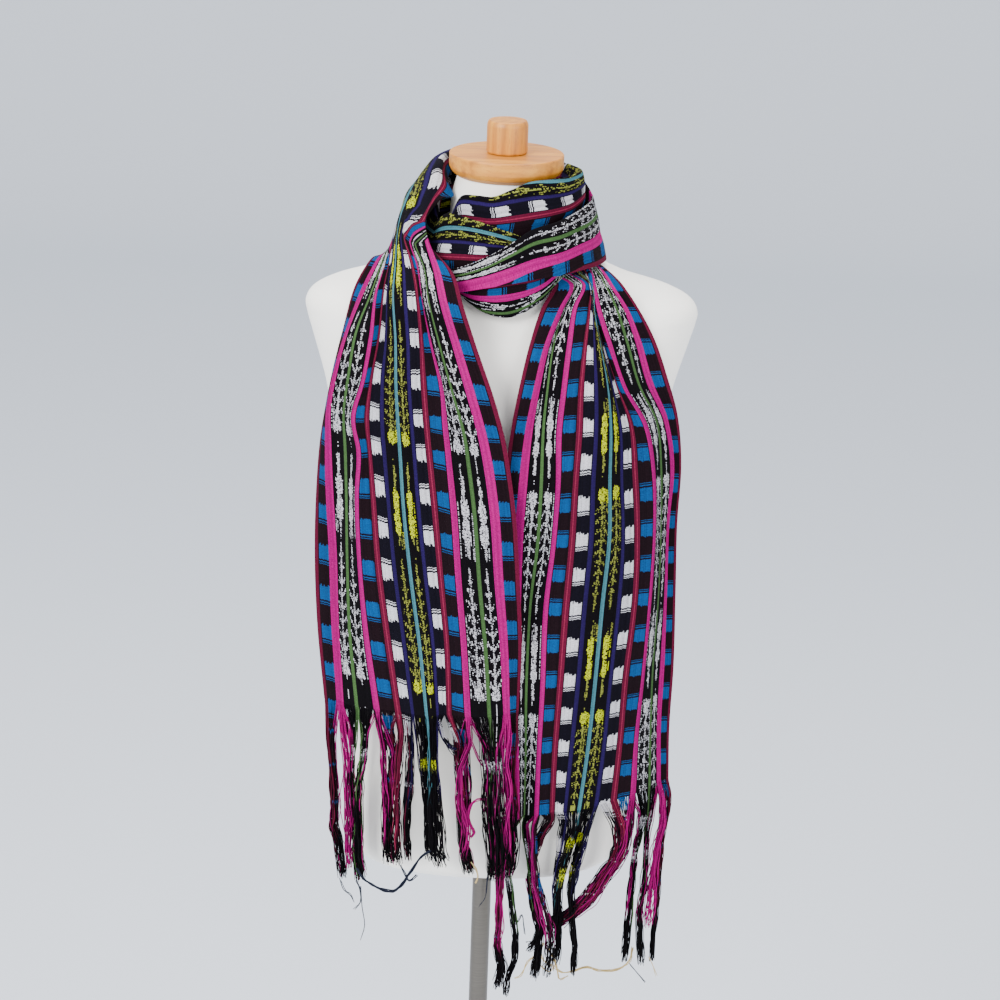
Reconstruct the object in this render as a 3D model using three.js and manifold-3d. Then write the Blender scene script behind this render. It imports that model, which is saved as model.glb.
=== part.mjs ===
// A long woven scarf with knotless fringed ends, wound round the neck of a limbless dress form on a pole.
// Millimetres, +Z up, the front faces -Y, origin at the middle of the base's underside.
import * as THREE from "three";
import Module from "manifold-3d";

// ---- driving sizes ----
const CLOTH_WALL = 1.3;
const SEAM_GAP = 0.3;
const SHOULDER_HALF = 192;
const TORSO_BOTTOM = 780;
const NECK_TOP = 1480.7;
const CAP_RADIUS = 55.6;
const CAP_TOP = 1503;
const KNOB_RADIUS = 20;
const KNOB_TOP = 1535;
const POLE_RADIUS = 9.75;
const BASE_RADIUS = 162;
const HUB_TOP = 30;
const LOCK_RADIUS = 1.7;

const wasm = await Module();
wasm.setup();

// ---- materials ----
const calico = new THREE.MeshStandardMaterial({ color: 0xf3f0ea, roughness: 0.85, metalness: 0 });
const beech = new THREE.MeshStandardMaterial({ color: 0xdcb482, roughness: 0.5, metalness: 0 });
const nickel = new THREE.MeshStandardMaterial({ color: 0xb9b3a8, roughness: 0.35, metalness: 0.9 });
const ikat = new THREE.MeshStandardMaterial({ color: 0x3a1f3c, roughness: 0.9, metalness: 0 });
const yarn = new THREE.MeshStandardMaterial({ color: 0x5a1740, roughness: 0.9, metalness: 0 });

const part = new THREE.Group();

function addMesh(name, geometry, material) {
  const mesh = new THREE.Mesh(geometry, material);
  mesh.name = name;
  part.add(mesh);
}

function geometryOf(points, triangles) {
  const geometry = new THREE.BufferGeometry();
  const flat = [];
  for (const p of points) flat.push(p.x, p.y, p.z);
  geometry.setAttribute("position", new THREE.Float32BufferAttribute(flat, 3));
  geometry.setIndex(triangles.flat());
  return geometry;
}

function manifoldOf(geometry) {
  return new wasm.Manifold(
    new wasm.Mesh({
      numProp: 3,
      vertProperties: geometry.attributes.position.array,
      triVerts: new Uint32Array(geometry.index.array),
    }),
  );
}

function geometryFrom(solid) {
  const mesh = solid.getMesh();
  const geometry = new THREE.BufferGeometry();
  geometry.setAttribute("position", new THREE.Float32BufferAttribute(mesh.vertProperties, 3));
  geometry.setIndex(Array.from(mesh.triVerts));
  return geometry;
}

// Straight-line value of a table column at a key, held at both ends.
function at(table, key, column, value) {
  if (value <= table[0][key]) return table[0][column];
  for (let i = 1; i < table.length; i++) {
    const a = table[i - 1];
    const b = table[i];
    if (value <= b[key]) {
      const t = (value - a[key]) / (b[key] - a[key]);
      return a[column] + (b[column] - a[column]) * t;
    }
  }
  return table[table.length - 1][column];
}

// ---- the form ----
function turned(profile, sides) {
  const points = profile.map(([r, z]) => new THREE.Vector2(r, z));
  const lathe = new THREE.LatheGeometry(points, sides);
  lathe.rotateX(Math.PI / 2);
  return lathe;
}

const baseProfile = [
  [0, 0],
  [BASE_RADIUS, 0],
  [BASE_RADIUS, 5],
  [BASE_RADIUS - 4, 8],
  [60, 11],
  [24, 13],
  [20, HUB_TOP - 2],
  [18, HUB_TOP],
  [0, HUB_TOP],
];
addMesh("form_base", turned(baseProfile, 48), nickel);

const poleProfile = [
  [0, HUB_TOP + SEAM_GAP],
  [POLE_RADIUS, HUB_TOP + SEAM_GAP],
  [POLE_RADIUS, TORSO_BOTTOM - SEAM_GAP],
  [0, TORSO_BOTTOM - SEAM_GAP],
];
addMesh("form_pole", turned(poleProfile, 24), nickel);

// A row for each height of the torso: half width, reach to the front and to the back.
const TORSO = [
  { z: TORSO_BOTTOM, half: 133, front: 95, back: 88 },
  { z: 790, half: 141, front: 102, back: 95 },
  { z: 850, half: 141, front: 100, back: 97 },
  { z: 950, half: 131, front: 92, back: 88 },
  { z: 1040, half: 131, front: 92, back: 84 },
  { z: 1130, half: 145, front: 103, back: 88 },
  { z: 1200, half: 158, front: 111, back: 95 },
  { z: 1235, half: 164, front: 112, back: 99 },
  { z: 1275, half: 171, front: 110, back: 102 },
  { z: 1320, half: 184, front: 99, back: 102 },
  { z: 1342, half: 190.5, front: 89, back: 98 },
  { z: 1352, half: SHOULDER_HALF, front: 84, back: 95 },
  { z: 1361, half: 187, front: 79, back: 91 },
  { z: 1370, half: 171, front: 73, back: 86 },
  { z: 1382, half: 130, front: 66, back: 78 },
  { z: 1394, half: 102, front: 60, back: 70 },
  { z: 1408, half: 72, front: 55, back: 60 },
  { z: 1424, half: 56, front: 52.5, back: 54 },
  { z: 1462, half: 52, front: 52, back: 52 },
  { z: NECK_TOP, half: 47, front: 47, back: 47 },
];

function torsoSection(row, sides) {
  const ring = [];
  const neckness = Math.min(1, Math.max(0, (row.z - 1370) / 60));
  const power = 2 / (2.35 - 0.35 * neckness);
  for (let i = 0; i < sides; i++) {
    const a = (i / sides) * Math.PI * 2;
    const c = Math.cos(a);
    const s = Math.sin(a);
    const depth = s < 0 ? row.front : row.back;
    const x = row.half * Math.sign(c) * Math.abs(c) ** power;
    const y = depth * Math.sign(s) * Math.abs(s) ** power;
    ring.push(new THREE.Vector3(x, y, row.z));
  }
  return ring;
}

// A closed body through rings of equal count, from the lowest to the highest.
function loft(rings) {
  const sides = rings[0].length;
  const points = rings.flat();
  const triangles = [];
  for (let r = 0; r + 1 < rings.length; r++) {
    for (let i = 0; i < sides; i++) {
      const j = (i + 1) % sides;
      const a = r * sides + i;
      const b = r * sides + j;
      triangles.push([a, b, b + sides], [a, b + sides, a + sides]);
    }
  }
  const last = (rings.length - 1) * sides;
  for (let i = 1; i + 1 < sides; i++) {
    triangles.push([0, i + 1, i], [last, last + i, last + i + 1]);
  }
  return geometryOf(points, triangles);
}
addMesh("form_torso", loft(TORSO.map((row) => torsoSection(row, 32))), calico);

const capProfile = [
  [0, NECK_TOP + SEAM_GAP],
  [48, NECK_TOP + SEAM_GAP],
  [53, 1485],
  [CAP_RADIUS, 1490],
  [CAP_RADIUS, CAP_TOP - 1],
  [CAP_RADIUS - 1, CAP_TOP],
  [0, CAP_TOP],
];
addMesh("neck_cap", turned(capProfile, 48), beech);

const knobProfile = [
  [0, CAP_TOP + SEAM_GAP],
  [KNOB_RADIUS - 1, CAP_TOP + SEAM_GAP],
  [KNOB_RADIUS, CAP_TOP + 2],
  [KNOB_RADIUS, KNOB_TOP - 4],
  [KNOB_RADIUS - 1.6, KNOB_TOP],
  [0, KNOB_TOP],
];
addMesh("neck_knob", turned(knobProfile, 32), beech);

// ---- cloth ----
// Smooth curve through the points, with the given number of steps between neighbours.
function smooth(points, steps) {
  const curve = new THREE.CatmullRomCurve3(points, false, "centripetal");
  const count = (points.length - 1) * steps;
  const out = [];
  for (let i = 0; i <= count; i++) out.push(curve.getPoint(i / count));
  return out;
}

// Rows of named points made into an even grid, across each row and then along the cloth.
function gridOf(rows, across, along) {
  const wide = rows.map((row) => smooth(row, across));
  const columns = wide[0].map((_, c) => smooth(wide.map((row) => row[c]), along));
  return columns[0].map((_, r) => columns.map((column) => column[r]));
}

// Both faces of a wall about a grid of middle points.
function facesOf(grid, thickness) {
  const rows = grid.length;
  const cols = grid[0].length;
  const pick = (r, c) => grid[Math.min(rows - 1, Math.max(0, r))][Math.min(cols - 1, Math.max(0, c))];
  const face = (offset) =>
    grid.map((line, r) =>
      line.map((point, c) => {
        const along = new THREE.Vector3().subVectors(pick(r + 1, c), pick(r - 1, c));
        const across = new THREE.Vector3().subVectors(pick(r, c + 1), pick(r, c - 1));
        const normal = new THREE.Vector3().crossVectors(across, along).normalize();
        return point.clone().addScaledVector(normal, offset);
      }),
    );
  return { front: face(thickness / 2), back: face(-thickness / 2) };
}

// A closed body between the two faces of a wall.
function wallOf({ front, back }) {
  const rows = front.length;
  const cols = front[0].length;
  const n = rows * cols;
  const triangles = [];
  const quad = (a, b, c, d) => triangles.push([a, b, c], [a, c, d]);
  for (let r = 0; r + 1 < rows; r++) {
    for (let c = 0; c + 1 < cols; c++) {
      const a = r * cols + c;
      quad(a, a + 1, a + cols + 1, a + cols);
      quad(n + a, n + a + cols, n + a + cols + 1, n + a + 1);
    }
  }
  for (let c = 0; c + 1 < cols; c++) {
    const top = (rows - 1) * cols + c;
    quad(c + 1, c, n + c, n + c + 1);
    quad(top, top + 1, n + top + 1, n + top);
  }
  for (let r = 0; r + 1 < rows; r++) {
    const left = r * cols;
    const right = left + cols - 1;
    quad(left, left + cols, n + left + cols, n + left);
    quad(right + cols, right, n + right, n + right + cols);
  }
  const geometry = geometryOf([...front.flat(), ...back.flat()], triangles);
  if (manifoldOf(geometry).volume() > 0) return geometry;
  return geometryOf([...front.flat(), ...back.flat()], triangles.map(([a, b, c]) => [a, c, b]));
}

// The rows of a wall from one row to another; the first row is drawn in by a gap.
function stretchOf(faces, from, to, gap) {
  const cutFace = (face) => {
    const rows = face.slice(from, to + 1);
    if (gap > 0) {
      rows[0] = rows[0].map((p, c) => {
        const way = new THREE.Vector3().subVectors(rows[1][c], p);
        return p.clone().addScaledVector(way.normalize(), gap);
      });
    }
    return rows;
  };
  return { front: cutFace(faces.front), back: cutFace(faces.back) };
}

function addCloth(name, faces) {
  addMesh(name, wallOf(faces), ikat);
}

// The woven lines of the scarf: distance from its middle line in the flat cloth.
const LINES = [
  { name: "edgeL", flat: -110 },
  { name: "pinkL", flat: -92 },
  { name: "greenL", flat: -72 },
  { name: "innerL", flat: -52 },
  { name: "crimsonL", flat: -33 },
  { name: "middle", flat: 0 },
  { name: "crimsonR", flat: 33 },
  { name: "innerR", flat: 52 },
  { name: "greenR", flat: 72 },
  { name: "pinkR", flat: 92 },
  { name: "edgeR", flat: 110 },
];

// The chest that the tails lie on: reach of the middle, and how fast it falls back sideways.
const CHEST = [
  { z: 780, reach: 118, fall: 0.0021 },
  { z: 1235, reach: 118, fall: 0.0021 },
  { z: 1300, reach: 113, fall: 0.0017 },
  { z: 1340, reach: 96, fall: 0.0014 },
  { z: 1380, reach: 80, fall: 0.0012 },
  { z: 1410, reach: 70, fall: 0.0012 },
];

function chestAt(x, z) {
  return -at(CHEST, "z", "reach", z) + at(CHEST, "z", "fall", z) * x * x;
}

// One height of a tail: where each woven line hangs, and which way each strip between two lines leans.
function tailRow(z, places, leans, depth, lift) {
  const relief = [0];
  for (let i = 1; i < places.length; i++) {
    const flat = LINES[i].flat - LINES[i - 1].flat;
    const seen = places[i] - places[i - 1];
    const hidden = Math.sqrt(Math.max(0, flat * flat - seen * seen));
    relief.push(relief[i - 1] + leans[i - 1] * depth * hidden);
  }
  const deepest = Math.max(...relief);
  return places.map((x, i) => new THREE.Vector3(x, chestAt(x, z) + relief[i] - deepest - lift(x, z), z));
}

// ---- tails ----
// Rows from the hem up: height, tilt of the row, share of the pleats' depth, and where each of the eleven
// woven lines hangs.
const LEFT_TAIL = [
  { z: 968, tilt: 0.1, pleat: 1, places: [-163, -147, -129, -109, -87, -59, -38, -19, 2, 19, 30] },
  { z: 1040, tilt: 0.04, pleat: 1, places: [-172, -154, -138, -121, -99, -68, -42, -25, -4, 14, 31] },
  { z: 1110, tilt: 0, pleat: 1, places: [-176, -158, -142, -129, -110, -79, -50, -32, -12, 7, 27] },
  { z: 1180, tilt: 0, pleat: 1, places: [-175, -163, -144, -133, -117, -88, -58, -38, -19, 1, 21] },
  { z: 1225, tilt: 0, pleat: 1, places: [-172, -165, -146, -132, -122, -92, -64, -44, -26, -6, 14] },
  { z: 1260, tilt: 0, pleat: 1, places: [-167, -165, -148, -138, -125, -95, -68, -49, -32, -14, 7] },
  { z: 1300, tilt: 0, pleat: 1, places: [-160, -158, -144, -129, -122, -98, -72, -54, -45, -26, -5] },
  { z: 1340, tilt: 0, pleat: 1, places: [-151, -147, -138, -123, -116, -100, -75, -66, -58, -40, -21] },
  { z: 1380, tilt: 0, pleat: 0.8, places: [-141, -132, -124, -120, -113, -104, -80, -76, -70, -54, -36] },
  { z: 1405, tilt: 0, pleat: 0.25, places: [-127, -120, -115, -112, -109, -103, -86, -81, -75, -62, -46] },
];
// Minus leans forward to the right, plus leans back.
const LEFT_LEANS = [-1, -1, -1, 1, -1, 1, 1, -1, 1, 1];

const RIGHT_TAIL = [
  { z: 866, tilt: 0.13, pleat: 1, places: [27, 33, 40, 52, 68, 94, 128, 148, 165, 175, 185] },
  { z: 930, tilt: 0.06, pleat: 1, places: [20, 29, 39, 52, 68, 100, 132, 149, 163, 172, 183] },
  { z: 1000, tilt: 0, pleat: 1, places: [16, 25, 37, 53, 70, 104, 134, 153, 162, 172, 184] },
  { z: 1080, tilt: 0, pleat: 1, places: [12, 25, 38, 53, 73, 108, 140, 156, 164, 171, 182] },
  { z: 1150, tilt: 0, pleat: 1, places: [9, 24, 43, 58, 76, 112, 139, 157, 163, 170, 180] },
  { z: 1210, tilt: 0, pleat: 1, places: [9, 26, 44, 60, 77, 110, 134, 153, 160, 172, 181] },
  { z: 1260, tilt: 0, pleat: 1, places: [13, 30, 44, 59, 79, 109, 128, 142, 153, 162, 175] },
  { z: 1300, tilt: 0, pleat: 1, places: [19, 36, 46, 62, 79, 109, 119, 126, 135, 144, 163] },
  { z: 1340, tilt: 0, pleat: 1, places: [28, 45, 50, 66, 82, 105, 109, 109, 122, 131, 148] },
  { z: 1370, tilt: 0, pleat: 0.7, places: [38, 58, 61, 70, 85, 97, 99, 98, 112, 118, 131] },
  { z: 1390, tilt: 0, pleat: 0.3, places: [49, 67, 69, 78, 84, 89, 91, 91, 100, 104, 116] },
];
const RIGHT_LEANS = [-1, 1, -1, 1, -1, 1, -1, 1, 1, -1];
// The right tail's head, tucked between the neck and the loops: angles at both edges, radius and height.
const RIGHT_HEAD = [
  { from: 36, to: 74, inner: 78, outer: 102, z: 1399 },
  { from: 37, to: 79, inner: 71, outer: 79, z: 1410 },
  { from: 39, to: 82, inner: 66, outer: 69, z: 1424 },
];

const LEFT_DEPTH = 0.42;
const RIGHT_DEPTH = 0.36;

function step01(from, to, value) {
  return THREE.MathUtils.smoothstep(value, from, to);
}

// The left tail's inner part lies over the right tail and, higher up, over the loops.
const leftLift = (x, z) => 17 * step01(-75, 2, x) + 25 * step01(-112, -42, x) * step01(1300, 1385, z);
const rightLift = (x, z) => {
  const underLeft = 5 * (1 - step01(40, 85, x)) * (1 - step01(1120, 1200, z));
  const underLoops = 10 * step01(1345, 1385, z) * (1 - step01(75, 110, x));
  return -underLeft - underLoops;
};

function polar(angle, radius, z) {
  const a = THREE.MathUtils.degToRad(angle);
  return new THREE.Vector3(radius * Math.sin(a), -radius * Math.cos(a), z);
}

function tailRows(table, leans, depth, lift, middle) {
  return table.map((row) => {
    const points = tailRow(row.z, row.places, leans, depth * row.pleat, lift);
    for (const p of points) p.z += row.tilt * (p.x - middle);
    return points;
  });
}

const leftRows = tailRows(LEFT_TAIL, LEFT_LEANS, LEFT_DEPTH, leftLift, -66);
const rightRows = tailRows(RIGHT_TAIL, RIGHT_LEANS, RIGHT_DEPTH, rightLift, 105);
for (const head of RIGHT_HEAD) {
  const row = LINES.map((_, i) => {
    const t = i / (LINES.length - 1);
    const angle = head.from + (head.to - head.from) * t;
    return polar(angle, head.inner + (head.outer - head.inner) * t, head.z);
  });
  rightRows.push(row);
}

// ---- loops round the neck ----
// Each row is a cut through the cloth.
// Each point is [angle from the front, radius from the neck's axis, height].
// The outer pass: from the left tail's head round the back to the right.
const OUTER_BACK = [
  {
    edgeL: [-76, 122, 1404], greenL: [-75, 116, 1409], middle: [-72, 108, 1424],
    greenR: [-56, 102, 1423], pinkR: [-46, 101, 1430], edgeR: [-52, 94, 1426],
  },
  {
    edgeL: [-84, 112, 1403], greenL: [-83, 110, 1412], middle: [-80, 103, 1436],
    greenR: [-61, 99, 1443], pinkR: [-51, 98, 1446], edgeR: [-58, 92, 1440],
  },
  {
    edgeL: [-92, 108, 1403], greenL: [-90, 107, 1414], middle: [-84, 100, 1446],
    greenR: [-65, 93, 1456], pinkR: [-59, 86, 1461], edgeR: [-57, 73, 1464],
  },
  {
    edgeL: [-100, 107, 1403], greenL: [-98, 106, 1414], middle: [-90, 97, 1454],
    greenR: [-72, 85, 1468], pinkR: [-68, 71, 1478], edgeR: [-62, 57, 1464],
  },
  {
    edgeL: [-108, 107, 1402], greenL: [-106, 105, 1416], middle: [-100, 94, 1460],
    greenR: [-90, 78, 1480], pinkR: [-86, 65, 1489], edgeR: [-82, 57, 1474],
  },
  {
    edgeL: [-126, 105, 1398], greenL: [-125, 104, 1416], middle: [-122, 93, 1464],
    greenR: [-118, 77, 1490], pinkR: [-117, 67, 1493], edgeR: [-116, 59, 1478],
  },
  {
    edgeL: [-152, 99, 1384], greenL: [-152, 101, 1412], middle: [-151, 92, 1466],
    greenR: [-150, 78, 1494], pinkR: [-150, 69, 1495], edgeR: [-150, 62, 1481],
  },
  {
    edgeL: [-180, 97, 1376], greenL: [-180, 100, 1408], middle: [-180, 91, 1464],
    greenR: [-180, 79, 1494], pinkR: [-180, 71, 1495], edgeR: [-180, 65, 1482],
  },
  {
    edgeL: [-210, 98, 1386], greenL: [-210, 99, 1412], middle: [-210, 90, 1462],
    greenR: [-210, 80, 1489], pinkR: [-210, 73, 1490], edgeR: [-210, 69, 1479],
  },
  {
    edgeL: [-241.6, 99, 1402], greenL: [-241.6, 96.5, 1418], middle: [-241.6, 90, 1446],
    greenR: [-241.6, 82, 1473], pinkR: [-241.6, 79, 1479], edgeR: [-241.6, 75.5, 1469],
  },
];

// The outer pass over the front, from the right to where it dives under the left tail.
const OUTER_FRONT = [
  { at: 118, edge: [99, 1402], pink: [94.5, 1426], green: [88, 1452], leaf: [79, 1479], lip: [75.5, 1469] },
  { at: 90, edge: [100, 1402], pink: [94.5, 1427], green: [89, 1447], leaf: [84, 1462], lip: [80.5, 1453] },
  { at: 71, edge: [98.5, 1403], pink: [93, 1425], green: [88, 1444], leaf: [83, 1460], lip: [79.5, 1451] },
  { at: 53, edge: [97.5, 1404], pink: [93, 1424], green: [88, 1442], leaf: [82.5, 1456], lip: [79, 1447] },
  { at: 36, edge: [98, 1403], pink: [94, 1420], green: [89, 1438], leaf: [84, 1451], lip: [80.5, 1442] },
  { at: 18, edge: [98.5, 1401], pink: [94.5, 1416], green: [90, 1434], leaf: [86, 1446], lip: [82.5, 1437] },
  { at: 4, edge: [100, 1397], pink: [97, 1409], green: [93, 1423], leaf: [89, 1433], lip: [85.5, 1424] },
  { at: -10, edge: [101, 1392], pink: [98.5, 1401], green: [95.5, 1411], leaf: [92, 1420], lip: [89, 1411] },
  {
    at: -24, edge: [102, 1386], pink: [100, 1394],
    green: [97.5, 1402], leaf: [94.5, 1409], lip: [91.5, 1400],
  },
  {
    at: -38, edge: [101, 1383], pink: [99.5, 1390],
    green: [97.5, 1396], leaf: [95.5, 1402], lip: [92.5, 1394],
  },
];

// The same pass above its pleat: the middle band that shows at the left of the front.
const OUTER_MIDDLE = [
  { at: 22, tuck: [82, 1408], crimson: [81, 1418], middle: [79.5, 1426], fold: [78, 1431], lip: [76, 1422] },
  {
    at: 8, tuck: [82.5, 1408], crimson: [82.5, 1421],
    middle: [80, 1434], fold: [78.5, 1440], lip: [76, 1428],
  },
  { at: -10, tuck: [85, 1405], crimson: [86, 1419], middle: [82, 1441], fold: [79.5, 1448], lip: [76, 1438] },
  {
    at: -28, tuck: [86, 1403], crimson: [86.5, 1417],
    middle: [81, 1443], fold: [78.5, 1453], lip: [75, 1442],
  },
  { at: -45, tuck: [87, 1400], crimson: [87, 1414], middle: [81, 1439], fold: [77.5, 1453], lip: [74, 1442] },
  { at: -58, tuck: [87, 1400], crimson: [85, 1413], middle: [79, 1431], fold: [75, 1442], lip: [72, 1433] },
];

// The inner pass round the back.
const INNER_BACK = [
  { at: -58.3, end: [87, 1400], low: [85, 1413], middle: [79, 1431], fold: [75, 1442], lip: [72, 1433] },
  { at: -75, end: [90, 1404], low: [85, 1416], middle: [77, 1432], fold: [70, 1447], lip: [66, 1437] },
  { at: -100, end: [91, 1406], low: [86, 1419], middle: [76, 1442], fold: [67, 1464], lip: [62.5, 1453] },
  { at: -130, end: [90, 1401], low: [85, 1418], middle: [76, 1446], fold: [67, 1470], lip: [61.5, 1458] },
  { at: -180, end: [88, 1388], low: [85, 1415], middle: [78, 1446], fold: [70, 1474], lip: [64, 1462] },
  { at: -210, end: [88, 1398], low: [84, 1417], middle: [77, 1448], fold: [68, 1469], lip: [62, 1458] },
  { at: -241.7, end: [87, 1409], low: [78, 1428], middle: [74, 1450], fold: [68, 1487], lip: [61, 1475] },
];

// The inner pass over the front, its lower edge turned up.
const INNER_FRONT = [
  {
    at: 118, hem: [89.5, 1421], bottom: [87, 1409], middle: [75, 1438],
    crimson: [73, 1464], fold: [68, 1487], lip: [61, 1475],
  },
  {
    at: 90, hem: [90.5, 1421], bottom: [89, 1409], middle: [75, 1440],
    crimson: [77, 1466], fold: [72, 1488], lip: [62, 1476],
  },
  {
    at: 60, hem: [90, 1420], bottom: [88, 1408], middle: [73, 1436],
    crimson: [74, 1461], fold: [68, 1488], lip: [60, 1475],
  },
  {
    at: 40, hem: [92, 1411], bottom: [89, 1398], middle: [72.5, 1432],
    crimson: [72.5, 1459], fold: [65.5, 1488], lip: [58, 1475],
  },
  {
    at: 22, hem: [94.5, 1397], bottom: [91, 1374], middle: [72, 1428],
    crimson: [71, 1457], fold: [63.5, 1487], lip: [57, 1474],
  },
  {
    at: 5, hem: [96, 1393], bottom: [93, 1363], middle: [72, 1426],
    crimson: [71, 1454], fold: [65, 1480], lip: [58, 1468],
  },
  {
    at: -10, hem: [97, 1389], bottom: [93, 1367], middle: [72, 1427],
    crimson: [71.5, 1451], fold: [67, 1473], lip: [60, 1461],
  },
  {
    at: -22, hem: [96, 1389], bottom: [93, 1378], middle: [72, 1426],
    crimson: [71, 1451], fold: [68, 1473], lip: [61, 1462],
  },
  {
    at: -38, hem: [89, 1395], bottom: [86, 1388], middle: [71, 1424],
    crimson: [69.5, 1449], fold: [67, 1470], lip: [61, 1459],
  },
  {
    at: -50, hem: [84, 1401], bottom: [82.5, 1396], middle: [70, 1420],
    crimson: [68, 1438], fold: [65, 1451], lip: [60, 1442],
  },
];

function loopRows(table) {
  return table.map((row) => {
    const keys = Object.keys(row).filter((key) => key !== "at");
    return keys.map((key) => polar(row.at, row[key][0], row[key][1]));
  });
}

// The head of the left tail and the outer back pass are one cloth, parted at a seam gap.
const outerBackRows = OUTER_BACK.map((row) => {
  const keyed = Object.keys(row).map((name) => ({
    flat: LINES.find((line) => line.name === name).flat,
    point: polar(...row[name]),
  }));
  const curve = new THREE.CatmullRomCurve3(keyed.map((k) => k.point), false, "centripetal");
  return LINES.map(({ flat }) => {
    let i = 1;
    while (i < keyed.length - 1 && flat > keyed[i].flat) i++;
    const t = (flat - keyed[i - 1].flat) / (keyed[i].flat - keyed[i - 1].flat);
    return curve.getPoint((i - 1 + t) / (keyed.length - 1));
  });
});

const TAIL_ACROSS = 2;
const TAIL_ALONG = 2;
const leftAndBack = gridOf([...leftRows, ...outerBackRows], TAIL_ACROSS, TAIL_ALONG);
const leftFaces = facesOf(leftAndBack, CLOTH_WALL);
const headRow = (LEFT_TAIL.length - 1) * TAIL_ALONG;
addCloth("tail_left", stretchOf(leftFaces, 0, headRow, 0));
addCloth("wrap_back", stretchOf(leftFaces, headRow, leftAndBack.length - 1, SEAM_GAP));
addCloth("wrap_over", facesOf(gridOf(loopRows(OUTER_FRONT), 3, 2), CLOTH_WALL));
addCloth("wrap_middle", facesOf(gridOf(loopRows(OUTER_MIDDLE), 3, 3), CLOTH_WALL));
addCloth("wrap_back_under", facesOf(gridOf(loopRows(INNER_BACK), 3, 3), CLOTH_WALL));
addCloth("wrap_under", facesOf(gridOf(loopRows(INNER_FRONT), 3, 2), CLOTH_WALL));
const rightGrid = gridOf(rightRows, TAIL_ACROSS, TAIL_ALONG);
addCloth("tail_right", facesOf(rightGrid, CLOTH_WALL));

// ---- fringes ----
// Locks in loose bundles: where a bundle leaves the hem, its middle, its lower part and its tip, how far it
// stands forward, and the height of its tip.
const LEFT_FRINGE = [
  { root: -159, middle: -158, low: -153, tip: -144, forward: 0, end: 786 },
  { root: -147, middle: -138, low: -134, tip: -133, forward: 2, end: 809 },
  { root: -128, middle: -123, low: -124, tip: -122, forward: 0, end: 787 },
  { root: -109, middle: -102, low: -99, tip: -98, forward: 2, end: 811 },
  { root: -98, middle: -92, low: -89, tip: -88, forward: -4, end: 807 },
  { root: -87, middle: -83, low: -80, tip: -79, forward: 4, end: 807 },
  { root: -76, middle: -73, low: -70, tip: -69, forward: -3, end: 813 },
  { root: -60, middle: -54, low: -49, tip: -44, forward: 0, end: 815 },
  { root: -45, middle: -38, low: -35, tip: -34, forward: 4, end: 934 },
  { root: -28, middle: -23, low: -21, tip: -15, forward: -2, end: 805 },
  { root: -15, middle: -12, low: -9, tip: -2, forward: 4, end: 823 },
  { root: 3, middle: 9, low: 15, tip: 18, forward: 0, end: 803 },
  { root: 18, middle: 24, low: 27, tip: 28, forward: -3, end: 824 },
];
const RIGHT_FRINGE = [
  { root: 31, middle: 22, low: 17, tip: 18, forward: 4, end: 714 },
  { root: 38, middle: 34, low: 32, tip: 32, forward: -4, end: 694 },
  { root: 49, middle: 49, low: 48, tip: 56, forward: 3, end: 732 },
  { root: 60, middle: 59, low: 59, tip: 67, forward: -3, end: 747 },
  { root: 72, middle: 70, low: 69, tip: 75, forward: 4, end: 771 },
  { root: 84, middle: 81, low: 79, tip: 84, forward: -3, end: 747 },
  { root: 102, middle: 95, low: 92, tip: 96, forward: 4, end: 691 },
  { root: 126, middle: 134, low: 116, tip: 92, forward: 15, end: 742 },
  { root: 155, middle: 158, low: 156, tip: 152, forward: 0, end: 699 },
  { root: 168, middle: 171, low: 171, tip: 164, forward: 5, end: 739 },
  { root: 179, middle: 179, low: 180, tip: 176, forward: -3, end: 700 },
];
const BUNDLE = [
  { x: -2.4, y: 1.5 },
  { x: 2.4, y: 1.5 },
  { x: 0, y: -3 },
];
const STRIP_DROP = 4;
const STRIP_WALL = 2;

function lock(path, sides, start, finish) {
  const rings = path.map((p, i) => {
    const before = path[Math.max(0, i - 1)];
    const after = path[Math.min(path.length - 1, i + 1)];
    const way = new THREE.Vector3().subVectors(before, after).normalize();
    const side = new THREE.Vector3(0, -1, 0).cross(way).normalize();
    const out = new THREE.Vector3().crossVectors(way, side);
    const r = start + (finish - start) * (i / (path.length - 1));
    return Array.from({ length: sides }, (_, k) => {
      const a = (k / sides) * Math.PI * 2;
      return p.clone().addScaledVector(side, r * Math.cos(a)).addScaledVector(out, r * Math.sin(a));
    });
  });
  return loft(rings.reverse());
}

function addFringe(name, hem, bundles) {
  const drop = (row, by) => row.map((p) => new THREE.Vector3(p.x, p.y, p.z - by));
  const strip = wallOf(facesOf([drop(hem, SEAM_GAP), drop(hem, SEAM_GAP + STRIP_DROP)], STRIP_WALL));
  let solid = manifoldOf(strip);
  const rootAt = (x) => {
    const ordered = [...hem].sort((a, b) => a.x - b.x);
    const table = ordered.map((p) => ({ x: p.x, y: p.y, z: p.z }));
    return new THREE.Vector3(x, at(table, "x", "y", x), at(table, "x", "z", x) - SEAM_GAP - STRIP_DROP / 2);
  };
  for (const bundle of bundles) {
    for (const offset of BUNDLE) {
      const root = rootAt(bundle.root + offset.x * 1.2);
      const fall = root.z - bundle.end;
      const front = root.y - bundle.forward;
      const path = [
        root,
        new THREE.Vector3(bundle.middle + offset.x, front + offset.y, root.z - fall * 0.3),
        new THREE.Vector3(bundle.low + offset.x, front + offset.y, root.z - fall * 0.62),
        new THREE.Vector3(bundle.tip + offset.x, front + offset.y, bundle.end + offset.y * 2),
      ];
      solid = solid.add(manifoldOf(lock(path, 4, LOCK_RADIUS, LOCK_RADIUS * 0.8)));
    }
  }
  addMesh(name, geometryFrom(solid), yarn);
}
addFringe("fringe_left", leftAndBack[0], LEFT_FRINGE);
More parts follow.
